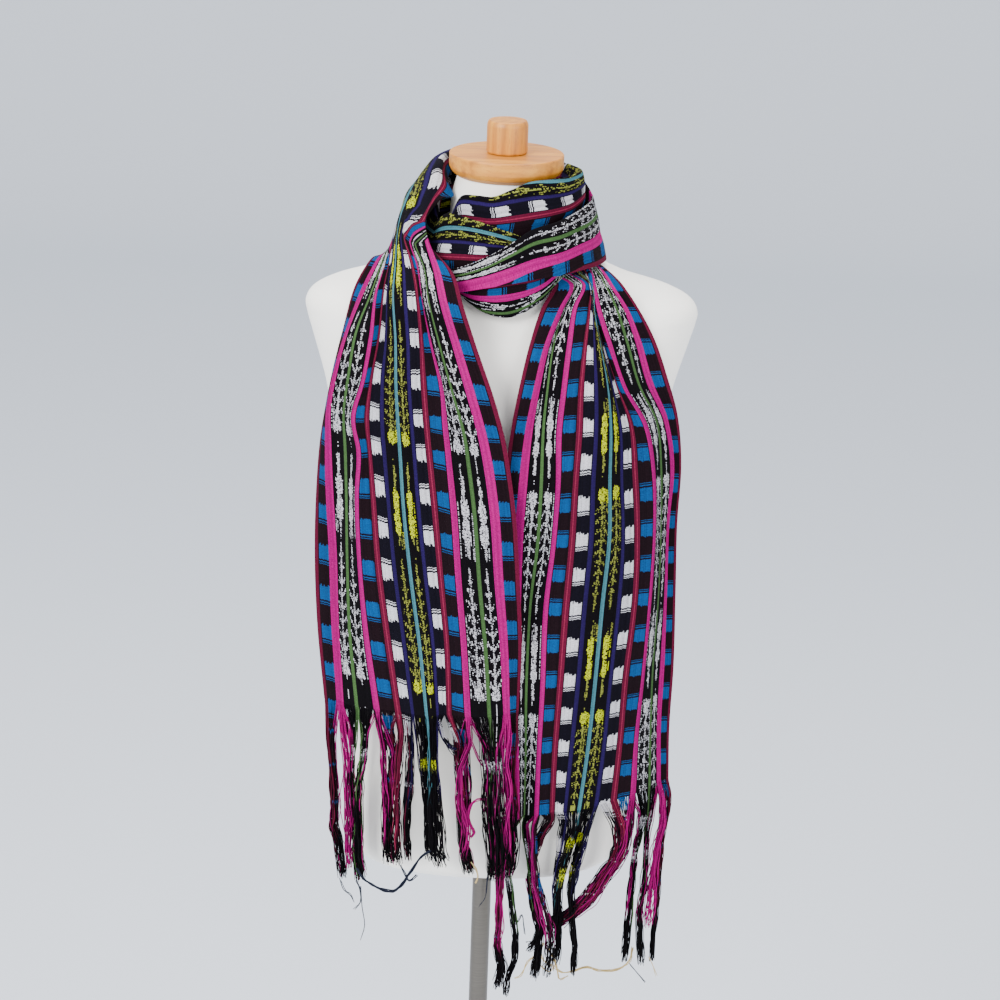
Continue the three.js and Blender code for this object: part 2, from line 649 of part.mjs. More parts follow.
addFringe("fringe_right", rightGrid[0], RIGHT_FRINGE);

export default part;
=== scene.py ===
"""The looks of a warp-ikat fringed scarf wound round the neck of a limbless dress form on a pole."""
import math
import random

import bpy
import numpy as np
from mathutils import Matrix, Vector


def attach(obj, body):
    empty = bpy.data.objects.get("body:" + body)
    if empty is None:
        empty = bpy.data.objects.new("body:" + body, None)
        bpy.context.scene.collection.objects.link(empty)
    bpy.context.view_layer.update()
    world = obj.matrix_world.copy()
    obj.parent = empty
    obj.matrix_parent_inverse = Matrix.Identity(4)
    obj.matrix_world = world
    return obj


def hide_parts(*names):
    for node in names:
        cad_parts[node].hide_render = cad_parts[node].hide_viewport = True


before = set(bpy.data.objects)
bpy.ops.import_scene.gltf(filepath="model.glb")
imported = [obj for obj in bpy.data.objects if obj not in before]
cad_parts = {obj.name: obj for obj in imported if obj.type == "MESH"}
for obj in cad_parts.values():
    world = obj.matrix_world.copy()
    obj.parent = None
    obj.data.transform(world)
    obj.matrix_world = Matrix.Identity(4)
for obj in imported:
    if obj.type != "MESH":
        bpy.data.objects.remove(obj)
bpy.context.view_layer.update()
scene = bpy.context.scene

# ---- camera ----
CAMERA_PITCH = math.radians(18)
CAMERA_ROLL = math.radians(2)
CAMERA_REACH = 3.2
CAMERA_AIM = Vector((0.005, 0, 1.150))


def add_camera():
    data = bpy.data.cameras.new("camera")
    data.sensor_width = 36
    data.lens = 115.2
    camera = bpy.data.objects.new("camera", data)
    scene.collection.objects.link(camera)
    level = Vector((1, 0, 0))
    rise = Vector((0, math.sin(CAMERA_PITCH), math.cos(CAMERA_PITCH)))
    right = level * math.cos(CAMERA_ROLL) + rise * math.sin(CAMERA_ROLL)
    up = rise * math.cos(CAMERA_ROLL) - level * math.sin(CAMERA_ROLL)
    back = right.cross(up)
    turn = Matrix((right, up, back)).transposed().to_4x4()
    turn.translation = CAMERA_AIM + back * CAMERA_REACH
    camera.matrix_world = turn
    scene.camera = camera


add_camera()

# ---- sizes, in millimetres ----
MM = 0.001
CLOTH_WALL = 1.3
SEAM_GAP = 0.3
SHOULDER_HALF = 192
TORSO_BOTTOM = 780
NECK_TOP = 1480.7
CAP_RADIUS = 55.6
CAP_TOP = 1503
KNOB_RADIUS = 20
KNOB_TOP = 1535
POLE_RADIUS = 9.75
BASE_RADIUS = 162
HUB_TOP = 30


# ---- helpers ----
def named_rows(columns, rows):
    """Rows of values as dictionaries under the named columns."""
    return [dict(zip(columns.split(), row)) for row in rows]


def step01(low, high, value):
    t = np.clip((value - low) / (high - low), 0, 1)
    return t * t * (3 - 2 * t)


def smooth(points, steps):
    """A centripetal curve through rows of points, with the given number of steps between neighbours."""
    p = np.asarray(points, float)
    p = np.concatenate([2 * p[:1] - p[1:2], p, 2 * p[-1:] - p[-2:-1]])
    gaps = np.linalg.norm(np.diff(p, axis=0), axis=-1) ** 0.5
    out = []
    for i in range(len(p) - 3):
        p0, p1, p2, p3 = p[i : i + 4]
        d0, d1, d2 = gaps[i : i + 3]
        d1 = np.where(d1 < 1e-4, 1, d1)
        d0 = np.where(d0 < 1e-4, d1, d0)[..., None]
        d2 = np.where(d2 < 1e-4, d1, d2)[..., None]
        d1 = d1[..., None]
        m1 = ((p1 - p0) / d0 - (p2 - p0) / (d0 + d1) + (p2 - p1) / d1) * d1
        m2 = ((p2 - p1) / d1 - (p3 - p1) / (d1 + d2) + (p3 - p2) / d2) * d1
        for k in range(steps):
            t = k / steps
            cubic = (2 * p1 - 2 * p2 + m1 + m2) * t**3
            square = (3 * p2 - 3 * p1 - 2 * m1 - m2) * t**2
            out.append(cubic + square + m1 * t + p1)
    out.append(p[-2])
    return np.array(out)


def spread(values, steps):
    """Straight-line values between rows, with the given number of steps between neighbours."""
    v = np.asarray(values, float)
    out = []
    for a, b in zip(v[:-1], v[1:]):
        out.extend(a + (b - a) * k / steps for k in range(steps))
    out.append(v[-1])
    return np.array(out)


def grid_of(rows, across, along):
    wide = np.array([smooth(row, across) for row in rows])
    return smooth(wide, along)


def make_mesh(name, points, faces, material, smooth_angle=50):
    mesh = bpy.data.meshes.new(name)
    mesh.from_pydata([tuple(p) for p in np.asarray(points) * MM], [], faces)
    mesh.validate()
    mesh.shade_smooth()
    mesh.set_sharp_from_angle(angle=math.radians(smooth_angle))
    mesh.materials.append(material)
    piece = bpy.data.objects.new(name, mesh)
    scene.collection.objects.link(piece)
    return piece


def turned(name, profile, sides, material):
    """A solid of revolution about Z through (radius, height) pairs."""
    inner = [p for p in profile if p[0] > 0]
    angles = np.arange(sides) / sides * 2 * math.pi
    points = [(r * math.cos(a), r * math.sin(a), z) for r, z in inner for a in angles]
    faces = []
    for ring in range(len(inner) - 1):
        for i in range(sides):
            a, b = ring * sides + i, ring * sides + (i + 1) % sides
            faces.append((a, b, b + sides, a + sides))
    low, top = len(points), len(points) + 1
    points += [(0, 0, profile[0][1]), (0, 0, profile[-1][1])]
    last = (len(inner) - 1) * sides
    for i in range(sides):
        j = (i + 1) % sides
        faces.append((low, j, i))
        faces.append((top, last + i, last + j))
    return make_mesh(name, points, faces, material, 30)


def rounded(profile, corner, steps=4):
    """The profile with each inner corner drawn as a small arc of the given size."""
    out = [profile[0]]
    for before, here, after in zip(profile, profile[1:], profile[2:]):
        a, b, c = (np.array(p, float) for p in (before, here, after))
        if b[0] <= 0:
            out.append(here)
            continue
        cut = min(corner, np.linalg.norm(a - b) * 0.45, np.linalg.norm(c - b) * 0.45)
        start = b + (a - b) / np.linalg.norm(a - b) * cut
        end = b + (c - b) / np.linalg.norm(c - b) * cut
        for k in range(steps + 1):
            t = k / steps
            out.append(tuple(start * (1 - t) ** 2 + b * 2 * t * (1 - t) + end * t**2))
    out.append(profile[-1])
    return out


# ---- materials ----
class Graph:
    """A short way to write a node tree: every call adds one node and returns its main output."""

    def __init__(self, tree):
        self.tree = tree

    def node(self, kind, inputs=None, **settings):
        made = self.tree.nodes.new(kind)
        for key, value in settings.items():
            setattr(made, key, value)
        for key, value in (inputs or {}).items():
            self.put(made.inputs[key], value)
        return made

    def put(self, socket, value):
        if isinstance(value, bpy.types.NodeSocket):
            self.tree.links.new(value, socket)
        else:
            socket.default_value = value

    def math(self, operation, a, b=None, c=None):
        inputs = {0: a}
        if b is not None:
            inputs[1] = b
        if c is not None:
            inputs[2] = c
        return self.node("ShaderNodeMath", inputs, operation=operation).outputs[0]

    def mix(self, factor, a, b):
        made = self.node("ShaderNodeMix", data_type="RGBA")
        self.put(made.inputs[0], factor)
        self.put(made.inputs[6], a)
        self.put(made.inputs[7], b)
        return made.outputs[2]

    def stops(self, made, stops, constant=False):
        band = made.color_ramp
        band.interpolation = "CONSTANT" if constant else "LINEAR"
        while len(band.elements) > 1:
            band.elements.remove(band.elements[-1])
        for i, (place, colour) in enumerate(stops):
            stop = band.elements[0] if i == 0 else band.elements.new(place)
            stop.position = place
            stop.color = colour if len(colour) == 4 else (*colour, 1)

    def ramp(self, value, stops, constant=False):
        made = self.node("ShaderNodeValToRGB", {0: value})
        self.stops(made, stops, constant)
        return made.outputs[0]


def srgb(r, g, b):
    """A linear colour from 8-bit display values."""
    made = []
    for v in (r, g, b):
        c = v / 255
        made.append(c / 12.92 if c <= 0.04045 else ((c + 0.055) / 1.055) ** 2.4)
    return (*made, 1)


def new_material(name):
    material = bpy.data.materials.new(name)
    material.use_nodes = True
    tree = material.node_tree
    tree.nodes.clear()
    graph = Graph(tree)
    shader = graph.node("ShaderNodeBsdfPrincipled")
    out = graph.node("ShaderNodeOutputMaterial")
    tree.links.new(shader.outputs[0], out.inputs["Surface"])
    return material, graph, shader


def new_group(name, inputs, outputs):
    """A shader group: numbers with their defaults go in, and numbers or "Color" come out."""
    tree = bpy.data.node_groups.new(name, "ShaderNodeTree")
    for label, value in inputs.items():
        tree.interface.new_socket(label, in_out="INPUT", socket_type="NodeSocketFloat").default_value = value
    for label in outputs:
        kind = "NodeSocketColor" if label == "Color" else "NodeSocketFloat"
        tree.interface.new_socket(label, in_out="OUTPUT", socket_type=kind)
    graph = Graph(tree)
    entry = graph.node("NodeGroupInput")
    leave = graph.node("NodeGroupOutput")
    return tree, graph, entry, leave


def use_group(graph, tree, inputs):
    made = graph.node("ShaderNodeGroup", node_tree=tree)
    for key, value in inputs.items():
        graph.put(made.inputs[key], value)
    return made


# colours of the yarns
CYAN = srgb(54, 98, 108)
YELLOW = srgb(160, 168, 10)
OLIVE = srgb(112, 116, 48)
NAVY = srgb(28, 17, 60)
WHITE = srgb(174, 172, 178)
CRIMSON = srgb(80, 13, 38)
CRIMSON_LIGHT = srgb(126, 34, 62)
PINK = srgb(137, 0, 90)
BLUE = srgb(12, 60, 108)
GREEN = srgb(54, 80, 44)
BLACK = srgb(7, 5, 8)
MAROON_BLACK = srgb(18, 8, 13)
NAVY_BLACK = srgb(10, 8, 17)

# The stripes from the middle line out to the edge: where each one ends, in millimetres, and its yarn.
STRIPES = named_rows("name upto yarn", [
    ("cyan", 1.5, CYAN),
    ("yellow band", 14, BLACK),
    ("navy", 18, NAVY),
    ("white check", 30, NAVY_BLACK),
    ("crimson", 32.4, CRIMSON),
    ("crimson line", 33.8, CRIMSON_LIGHT),
    ("crimson", 36, CRIMSON),
    ("blue check", 48.7, MAROON_BLACK),
    ("pink", 55.5, PINK),
    ("leaf", 70.3, BLACK),
    ("green", 73.7, GREEN),
    ("leaf", 87.5, BLACK),
    ("pink", 95.4, PINK),
    ("blue check", 106, MAROON_BLACK),
    ("crimson edge", 111, CRIMSON),
])
THREAD = 0.95
CHECK_REPEAT = 41
MOTIF_REPEAT = 232
HALF_WIDTH = 110

# The tied motif along its repeat: how wide the solid mark is and how far barbs reach out of its stem, both
# as a share of the band, how strong the stem is, and the share of threads that carry a loose streak.
MOTIF = named_rows("at solid barbs stem streak", [
    (0, 0.10, 0, 1.0, 0.35),
    (4, 0.62, 0, 1.0, 0.12),
    (12, 0.70, 0, 1.0, 0.08),
    (18, 0.55, 0, 1.0, 0.08),
    (22, 0.36, 0, 1.0, 0.10),
    (27, 0.55, 0, 1.0, 0.08),
    (36, 0.68, 0, 1.0, 0.06),
    (41, 0.36, 0, 1.0, 0),
    (43, 0.0, 0.0, 1.0, 0),
    (48, 0.24, 0, 1.0, 0),
    (62, 0.26, 0, 1.0, 0),
    (66, 0.0, 0, 0.0, 0),
    (83, 0.0, 0, 0.0, 0),
    (85, 0.84, 0, 1.0, 0.25),
    (93, 0.66, 0.5, 1.0, 0.22),
    (99, 0.16, 1.25, 1.0, 0.16),
    (135, 0.0, 1.15, 1.0, 0.08),
    (165, 0.0, 0.95, 1.0, 0.04),
    (190, 0.0, 0.6, 1.0, 0),
    (206, 0.0, 0.18, 1.0, 0),
    (210, 0.0, 0, 0.0, 0),
    (218, 0.0, 0, 0.0, 0),
    (221, 0.0, 0, 0.0, 0.26),
    (232, 0.10, 0, 1.0, 0.35),
])


def thread_group():
    """Splits the cloth's width into warp threads: a number for each, its random values, and its roundness."""
    tree, g, entry, leave = new_group(
        "warp threads",
        {"Width": 0.0, "Thread": THREAD},
        ["Index", "Random", "Second Random", "Centre", "Round"],
    )
    count = g.math("DIVIDE", entry.outputs["Width"], entry.outputs["Thread"])
    index = g.math("FLOOR", count)
    noise = g.node("ShaderNodeTexWhiteNoise", {"W": index}, noise_dimensions="1D")
    other = g.node("ShaderNodeTexWhiteNoise", {"W": g.math("ADD", index, 517.3)}, noise_dimensions="1D")
    centre = g.math("MULTIPLY", g.math("ADD", index, 0.5), entry.outputs["Thread"])
    across = g.math("MULTIPLY", g.math("FRACT", count), math.pi)
    g.put(leave.inputs["Index"], index)
    g.put(leave.inputs["Random"], noise.outputs["Value"])
    g.put(leave.inputs["Second Random"], other.outputs["Value"])
    g.put(leave.inputs["Centre"], centre)
    g.put(leave.inputs["Round"], g.math("SINE", across))
    return tree


def check_group():
    """A row of tied squares along the cloth: ragged at one end, with two thin echoes beyond the other."""
    tree, g, entry, leave = new_group(
        "tied squares",
        {"Length": 0.0, "Ragged": 0.0, "Half": 0.185, "Turned": 1.0},
        ["Mask"],
    )
    count = g.math("DIVIDE", entry.outputs["Length"], float(CHECK_REPEAT))
    phase = g.math("SUBTRACT", g.math("FRACT", count), 0.5)
    signed = g.math("MULTIPLY", phase, entry.outputs["Turned"])
    ragged = g.math("MULTIPLY", entry.outputs["Ragged"], 1.0 / CHECK_REPEAT)
    low_edge = g.math("MULTIPLY", entry.outputs["Half"], -1.0)
    low = g.math("GREATER_THAN", g.math("ADD", signed, ragged), low_edge)
    high_edge = g.math("ADD", entry.outputs["Half"], g.math("MULTIPLY", ragged, 0.3))
    high = g.math("LESS_THAN", signed, high_edge)
    square = g.math("MULTIPLY", low, high)
    beyond = g.math("SUBTRACT", signed, high_edge)
    first = g.math("COMPARE", beyond, 0.058, 0.014)
    second = g.math("COMPARE", beyond, 0.112, 0.009)
    echo = g.math("MAXIMUM", first, second)
    g.put(leave.inputs["Mask"], g.math("MAXIMUM", square, echo))
    return tree


def motif_group():
    """The long tied figure of a band, on threads: two lobes, a lozenge, a bar and a run of barbed sprigs."""
    tree, g, entry, leave = new_group(
        "tied figure",
        {
            "Length": 0.0,
            "Across": 0.0,
            "Thread": 0.0,
            "Random": 0.0,
            "Second Random": 0.0,
            "Fill": 1.0,
            "Feather": 3.0,
            "Barb Pitch": 11.0,
            "Barb Slope": 9.0,
        },
        ["Mask", "Strength"],
    )
    jitter = g.math("MULTIPLY", g.math("SUBTRACT", entry.outputs["Random"], 0.5), entry.outputs["Feather"])
    moved = g.math("ADD", entry.outputs["Length"], jitter)
    place = g.math("FRACT", g.math("DIVIDE", moved, float(MOTIF_REPEAT)))
    stops = [(r["at"] / MOTIF_REPEAT, (r["solid"], r["barbs"], r["stem"], r["streak"])) for r in MOTIF]
    drawn = g.node("ShaderNodeValToRGB", {0: place})
    g.stops(drawn, stops)
    parts = g.node("ShaderNodeSeparateColor", {0: drawn.outputs[0]})

    def thread_spot(across, along):
        x = g.math("MULTIPLY", entry.outputs["Thread"], across)
        y = g.math("MULTIPLY", entry.outputs["Length"], along)
        return g.node("ShaderNodeCombineXYZ", {0: x, 1: y})

    spot = thread_spot(0.83, 0.16)
    cloud = g.node("ShaderNodeTexNoise", {"Vector": spot.outputs[0], "Scale": 1.0, "Detail": 2.0})
    rough = g.math("SUBTRACT", cloud.outputs[0], 0.5)
    away = g.math("ABSOLUTE", g.math("SUBTRACT", entry.outputs["Across"], 0.5))
    wide = g.math("ADD", g.math("MULTIPLY", away, 2.0), g.math("MULTIPLY", rough, 0.7))
    solid = g.math("LESS_THAN", wide, g.math("MULTIPLY", parts.outputs[0], entry.outputs["Fill"]))
    stem = g.math("LESS_THAN", g.math("MULTIPLY", away, 2.0), g.math("MULTIPLY", parts.outputs[2], 0.14))
    slant = g.math("MULTIPLY", away, g.math("MULTIPLY", entry.outputs["Barb Slope"], 2.0))
    run = g.math("SUBTRACT", moved, slant)
    run = g.math("ADD", run, g.math("MULTIPLY", rough, 5.0))
    tooth = g.math("FRACT", g.math("DIVIDE", run, entry.outputs["Barb Pitch"]))
    barb = g.math("LESS_THAN", tooth, 0.26)
    inside = g.math("LESS_THAN", wide, g.math("MULTIPLY", parts.outputs[1], entry.outputs["Fill"]))
    barbs = g.math("MULTIPLY", barb, inside)
    streak = g.math("LESS_THAN", entry.outputs["Second Random"], drawn.outputs[1])
    marks = g.math("MAXIMUM", g.math("MAXIMUM", solid, stem), g.math("MAXIMUM", barbs, streak))
    fine_spot = thread_spot(5.3, 0.8)
    flecks = g.node("ShaderNodeTexNoise", {"Vector": fine_spot.outputs[0], "Scale": 1.0, "Detail": 1.0})
    whole = g.math("GREATER_THAN", g.math("ADD", flecks.outputs[0], g.math("MULTIPLY", solid, 0.05)), 0.49)
    g.put(leave.inputs["Mask"], g.math("MULTIPLY", marks, whole))
    g.put(leave.inputs["Strength"], parts.outputs[0])
    return tree


THREADS = thread_group()
CHECKS = check_group()
FIGURE = motif_group()


def cloth_colour_group():
    """The woven colours of the scarf at a place across and along it, in millimetres."""
    tree, g, entry, leave = new_group(
        "ikat cloth",
        {"Across": 0.0, "Along": 0.0, "Figure Along": 0.0},
        ["Color", "Height"],
    )
    threads = use_group(g, THREADS, {"Width": entry.outputs["Across"]})
    random_value = threads.outputs["Random"]
    other_value = threads.outputs["Second Random"]
    centre = threads.outputs["Centre"]
    distance = g.math("ABSOLUTE", centre)
    along = entry.outputs["Along"]
    # a slow wander moves the dyed edges of neighbouring threads together
    wander = g.node(
        "ShaderNodeTexNoise",
        {"W": g.math("MULTIPLY", threads.outputs["Index"], 0.21), "Scale": 1.0, "Detail": 2.0},
        noise_dimensions="1D",
    )
    share = g.math("DIVIDE", distance, float(HALF_WIDTH + 2))
    stops = []
    start = 0.0
    for stripe in STRIPES:
        stops.append((start / (HALF_WIDTH + 2), stripe["yarn"]))
        start = stripe["upto"]
    colour = g.ramp(share, stops, constant=True)

    def between(low, high):
        return g.math("MULTIPLY", g.math("GREATER_THAN", distance, low), g.math("LESS_THAN", distance, high))

    def figure_in(share, drawing):
        thread = {
            "Length": entry.outputs["Figure Along"],
            "Across": share,
            "Thread": threads.outputs["Index"],
            "Random": random_value,
            "Second Random": other_value,
        }
        return use_group(g, FIGURE, {**thread, **drawing})

    # tied squares
    small = g.math("MULTIPLY", g.math("SUBTRACT", random_value, 0.5), 2.2)
    drift = g.math("MULTIPLY", g.math("SUBTRACT", wander.outputs[0], 0.5), 2.4)
    ragged = g.math("ADD", small, drift)
    loose = g.math("MULTIPLY", ragged, 2.0)
    blue = use_group(g, CHECKS, {"Length": along, "Ragged": ragged, "Half": 0.178, "Turned": -1.0})
    white = use_group(g, CHECKS, {"Length": along, "Ragged": loose, "Half": 0.182, "Turned": 1.0})
    blue_zone = g.math("MAXIMUM", between(37.1, 48.2), between(96.0, 105.2))
    blue_mask = g.math("MULTIPLY", blue.outputs["Mask"], blue_zone)
    white_mask = g.math("MULTIPLY", white.outputs["Mask"], between(19.2, 29.2))
    colour = g.mix(blue_mask, colour, BLUE)
    colour = g.mix(white_mask, colour, WHITE)

    # the long figure, mirrored about the green line and about the middle line
    leaf_out = g.math("SUBTRACT", g.math("ABSOLUTE", g.math("SUBTRACT", distance, 72.0)), 1.7)
    leaf_share = g.math("DIVIDE", leaf_out, 14.8)
    leaf_share = g.math("ADD", g.math("MULTIPLY", leaf_share, 0.92), 0.08)
    leaf = figure_in(leaf_share, {"Fill": 0.72, "Feather": 5.0, "Barb Pitch": 12.5, "Barb Slope": 8.0})
    leaf_zone = g.math("MAXIMUM", between(55.5, 70.3), between(73.7, 87.5))
    leaf_mask = g.math("MULTIPLY", leaf.outputs["Mask"], leaf_zone)
    colour = g.mix(leaf_mask, colour, WHITE)
    yellow_share = g.math("DIVIDE", g.math("SUBTRACT", distance, 2.2), 11.0)
    yellow = figure_in(yellow_share, {"Fill": 0.85, "Feather": 4.0, "Barb Pitch": 11.0, "Barb Slope": 6.0})
    yellow_mask = g.math("MULTIPLY", yellow.outputs["Mask"], between(1.5, 14.0))
    strong = g.math("GREATER_THAN", yellow.outputs["Strength"], 0.3)
    yellow_yarn = g.mix(strong, OLIVE, YELLOW)
    colour = g.mix(yellow_mask, colour, yellow_yarn)

    # each thread has its own depth of dye, and the weft shows as fine ribs
    shade = g.math("ADD", g.math("MULTIPLY", other_value, 0.36), 0.82)
    weft = g.math("SINE", g.math("MULTIPLY", along, 2 * math.pi / 1.25))
    grain_across = g.math("MULTIPLY", threads.outputs["Index"], 3.7)
    grain_along = g.math("MULTIPLY", along, 1.3)
    grain_spot = g.node("ShaderNodeCombineXYZ", {0: grain_across, 1: grain_along})
    grain = g.node("ShaderNodeTexNoise", {"Vector": grain_spot.outputs[0], "Scale": 1.0, "Detail": 2.0})
    fleck = g.math("ADD", g.math("MULTIPLY", grain.outputs[0], 1.7), 0.15)
    shade = g.math("MULTIPLY", shade, fleck)
    shaded = g.node("ShaderNodeHueSaturation", {"Value": shade, "Color": colour})
    height = g.math("ADD", threads.outputs["Round"], g.math("MULTIPLY", weft, 0.35))
    g.put(leave.inputs["Color"], shaded.outputs[0])
    g.put(leave.inputs["Height"], height)
    return tree


IKAT = cloth_colour_group()


def make_matt(shader, roughness):
    shader.inputs["Roughness"].default_value = roughness
    shader.inputs["Specular IOR Level"].default_value = 0.04
    shader.inputs["Sheen Weight"].default_value = 0.01


def ikat_material():
    material, g, shader = new_material("ikat_cloth")
    place = g.node("ShaderNodeUVMap", uv_map="cloth")
    parts = g.node("ShaderNodeSeparateXYZ", {0: place.outputs[0]})
    figure = g.node("ShaderNodeUVMap", uv_map="figure")
    figure_parts = g.node("ShaderNodeSeparateXYZ", {0: figure.outputs[0]})
    woven = use_group(
        g,
        IKAT,
        {
            "Across": g.math("MULTIPLY", parts.outputs[0], 1000.0),
            "Along": g.math("MULTIPLY", parts.outputs[1], 1000.0),
            "Figure Along": g.math("MULTIPLY", figure_parts.outputs[1], 1000.0),
        },
    )
    g.put(shader.inputs["Base Color"], woven.outputs["Color"])
    bump = g.node("ShaderNodeBump", {"Strength": 0.35, "Distance": 0.0004, "Height": woven.outputs["Height"]})
    g.put(shader.inputs["Normal"], bump.outputs[0])
    make_matt(shader, 0.85)
    return material


def yarn_material():
    material, g, shader = new_material("fringe_yarn")
    weave = g.node("ShaderNodeAttribute", attribute_name="weave", attribute_type="GEOMETRY")
    parts = g.node("ShaderNodeSeparateXYZ", {0: weave.outputs["Vector"]})
    woven = use_group(
        g,
        IKAT,
        {"Across": parts.outputs[0], "Along": parts.outputs[1], "Figure Along": parts.outputs[2]},
    )
    fade = g.node("ShaderNodeAttribute", attribute_name="fade", attribute_type="GEOMETRY")
    dye = g.node("ShaderNodeAttribute", attribute_name="dye", attribute_type="GEOMETRY")
    colour = g.mix(fade.outputs["Fac"], woven.outputs["Color"], BLACK)
    colour = g.mix(dye.outputs["Alpha"], colour, dye.outputs["Color"])
    g.put(shader.inputs["Base Color"], colour)
    make_matt(shader, 0.8)
    return material


def cover_material():
    material, g, shader = new_material("form_cover")
    place = g.node("ShaderNodeTexCoord")
    weave = g.node("ShaderNodeTexNoise", {"Vector": place.outputs["Object"], "Scale": 900.0, "Detail": 2.0})
    colour = g.mix(weave.outputs[0], srgb(250, 246, 238), srgb(255, 253, 247))
    g.put(shader.inputs["Base Color"], colour)
    bump = g.node("ShaderNodeBump", {"Strength": 0.12, "Distance": 0.0004, "Height": weave.outputs[0]})
    g.put(shader.inputs["Normal"], bump.outputs[0])
    shader.inputs["Roughness"].default_value = 0.85
    return material


def beech_material(name, grain):
    """Oiled beech; grain is how tightly its figure is packed along X, Y and Z."""
    material, g, shader = new_material(name)
    place = g.node("ShaderNodeTexCoord")
    figure = g.node("ShaderNodeMapping", {"Vector": place.outputs["Object"], "Scale": grain})
    rings = g.node("ShaderNodeTexNoise", {"Vector": figure.outputs[0], "Scale": 1.6, "Detail": 4.0})
    pores = g.node("ShaderNodeTexNoise", {"Vector": figure.outputs[0], "Scale": 14.0, "Detail": 2.0})
    colour = g.ramp(
        rings.outputs[0],
        [(0.3, srgb(164, 100, 26)), (0.5, srgb(194, 124, 34)), (0.7, srgb(208, 142, 46))],
    )
    speck = g.math("LESS_THAN", pores.outputs[0], 0.36)
    colour = g.mix(g.math("MULTIPLY", speck, 0.35), colour, srgb(124, 72, 28))
    g.put(shader.inputs["Base Color"], colour)
    rough = g.ramp(rings.outputs[0], [(0.3, (0.42, 0.42, 0.42)), (0.7, (0.52, 0.52, 0.52))])
    g.put(shader.inputs["Roughness"], rough)
    bump = g.node("ShaderNodeBump", {"Strength": 0.15, "Distance": 0.0002, "Height": pores.outputs[0]})
    g.put(shader.inputs["Normal"], bump.outputs[0])
    return material


def nickel_material():
    material, g, shader = new_material("nickel")
    place = g.node("ShaderNodeTexCoord")
    brushed = g.node("ShaderNodeMapping", {"Vector": place.outputs["Object"], "Scale": (40.0, 40.0, 900.0)})
    lines = g.node("ShaderNodeTexNoise", {"Vector": brushed.outputs[0], "Scale": 1.0, "Detail": 2.0})
    rough = g.ramp(lines.outputs[0], [(0.3, (0.28, 0.28, 0.28)), (0.7, (0.4, 0.4, 0.4))])
    colour = g.mix(lines.outputs[0], srgb(92, 88, 82), srgb(110, 105, 98))
    g.put(shader.inputs["Base Color"], colour)
    g.put(shader.inputs["Roughness"], rough)
    shader.inputs["Metallic"].default_value = 1.0
    return material


IKAT_CLOTH = ikat_material()
FRINGE_YARN = yarn_material()
FORM_COVER = cover_material()
BEECH = beech_material("beech", (7.0, 95.0, 95.0))
BEECH_UPRIGHT = beech_material("beech_upright", (95.0, 95.0, 7.0))
NICKEL = nickel_material()

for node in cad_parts.values():
    name = node.name
    if name.startswith(("tail", "wrap")):
        finish = IKAT_CLOTH
    elif name.startswith("fringe"):
        finish = FRINGE_YARN
    elif name == "form_torso":
        finish = FORM_COVER
    elif name.startswith("neck"):
        finish = BEECH
    else:
        finish = NICKEL
    node.data.materials.clear()
    node.data.materials.append(finish)


def settle(piece, slot, *nodes):
    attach(piece, "root")
    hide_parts(*nodes)


# ---- the form ----
base = turned(
    "base_look",
    rounded(
        [
            (0, 0),
            (BASE_RADIUS, 0),
            (BASE_RADIUS, 5),
            (BASE_RADIUS - 4, 8),
            (60, 11),
            (24, 13),
            (20, HUB_TOP - 2),
            (18, HUB_TOP),
            (0, HUB_TOP),
        ],
        1.5,
    ),
    160,
    NICKEL,
)
settle(base, "nickel", "form_base")
pole = turned(
    "pole_look",
    [
        (0, HUB_TOP + SEAM_GAP),
        (POLE_RADIUS, HUB_TOP + SEAM_GAP),
        (POLE_RADIUS, TORSO_BOTTOM - SEAM_GAP),
        (0, TORSO_BOTTOM - SEAM_GAP),
    ],
    64,
    NICKEL,
)
settle(pole, "nickel", "form_pole")
cap = turned(
    "cap_look",
    rounded(
        [
            (0, NECK_TOP + SEAM_GAP),
            (48, NECK_TOP + SEAM_GAP),
            (53, 1485),
            (CAP_RADIUS, 1490),
            (CAP_RADIUS, CAP_TOP - 1),
            (CAP_RADIUS - 1, CAP_TOP),
            (0, CAP_TOP),
        ],
        1.4,
    ),
    160,
    BEECH,
)
settle(cap, "beech", "neck_cap")
knob = turned(
    "knob_look",
    rounded(
        [
            (0, CAP_TOP + SEAM_GAP),
            (KNOB_RADIUS - 1, CAP_TOP + SEAM_GAP),
            (KNOB_RADIUS, CAP_TOP + 2),
            (KNOB_RADIUS, KNOB_TOP - 4),
            (KNOB_RADIUS - 1.6, KNOB_TOP),
            (0, KNOB_TOP),
        ],
        1.5,
    ),
    96,
    BEECH_UPRIGHT,
)
settle(knob, "beech", "neck_knob")

# A row for each height of the torso: half width, reach to the front and to the back.
TORSO = named_rows("z half front back", [
    (TORSO_BOTTOM, 133, 95, 88),
    (790, 141, 102, 95),
    (850, 141, 100, 97),
    (950, 131, 92, 88),
    (1040, 131, 92, 84),
    (1130, 145, 103, 88),
    (1200, 158, 111, 95),
    (1235, 164, 112, 99),
    (1275, 171, 110, 102),
    (1320, 184, 99, 102),
    (1342, 190.5, 89, 98),
    (1352, SHOULDER_HALF, 84, 95),
    (1361, 187, 79, 91),
    (1370, 171, 73, 86),
    (1382, 130, 66, 78),
    (1394, 102, 60, 70),
    (1408, 72, 55, 60),
    (1424, 56, 52.5, 54),
    (1462, 52, 52, 52),
    (NECK_TOP, 47, 47, 47),
])
TORSO_SIDES = 160
TORSO_STEPS = 8


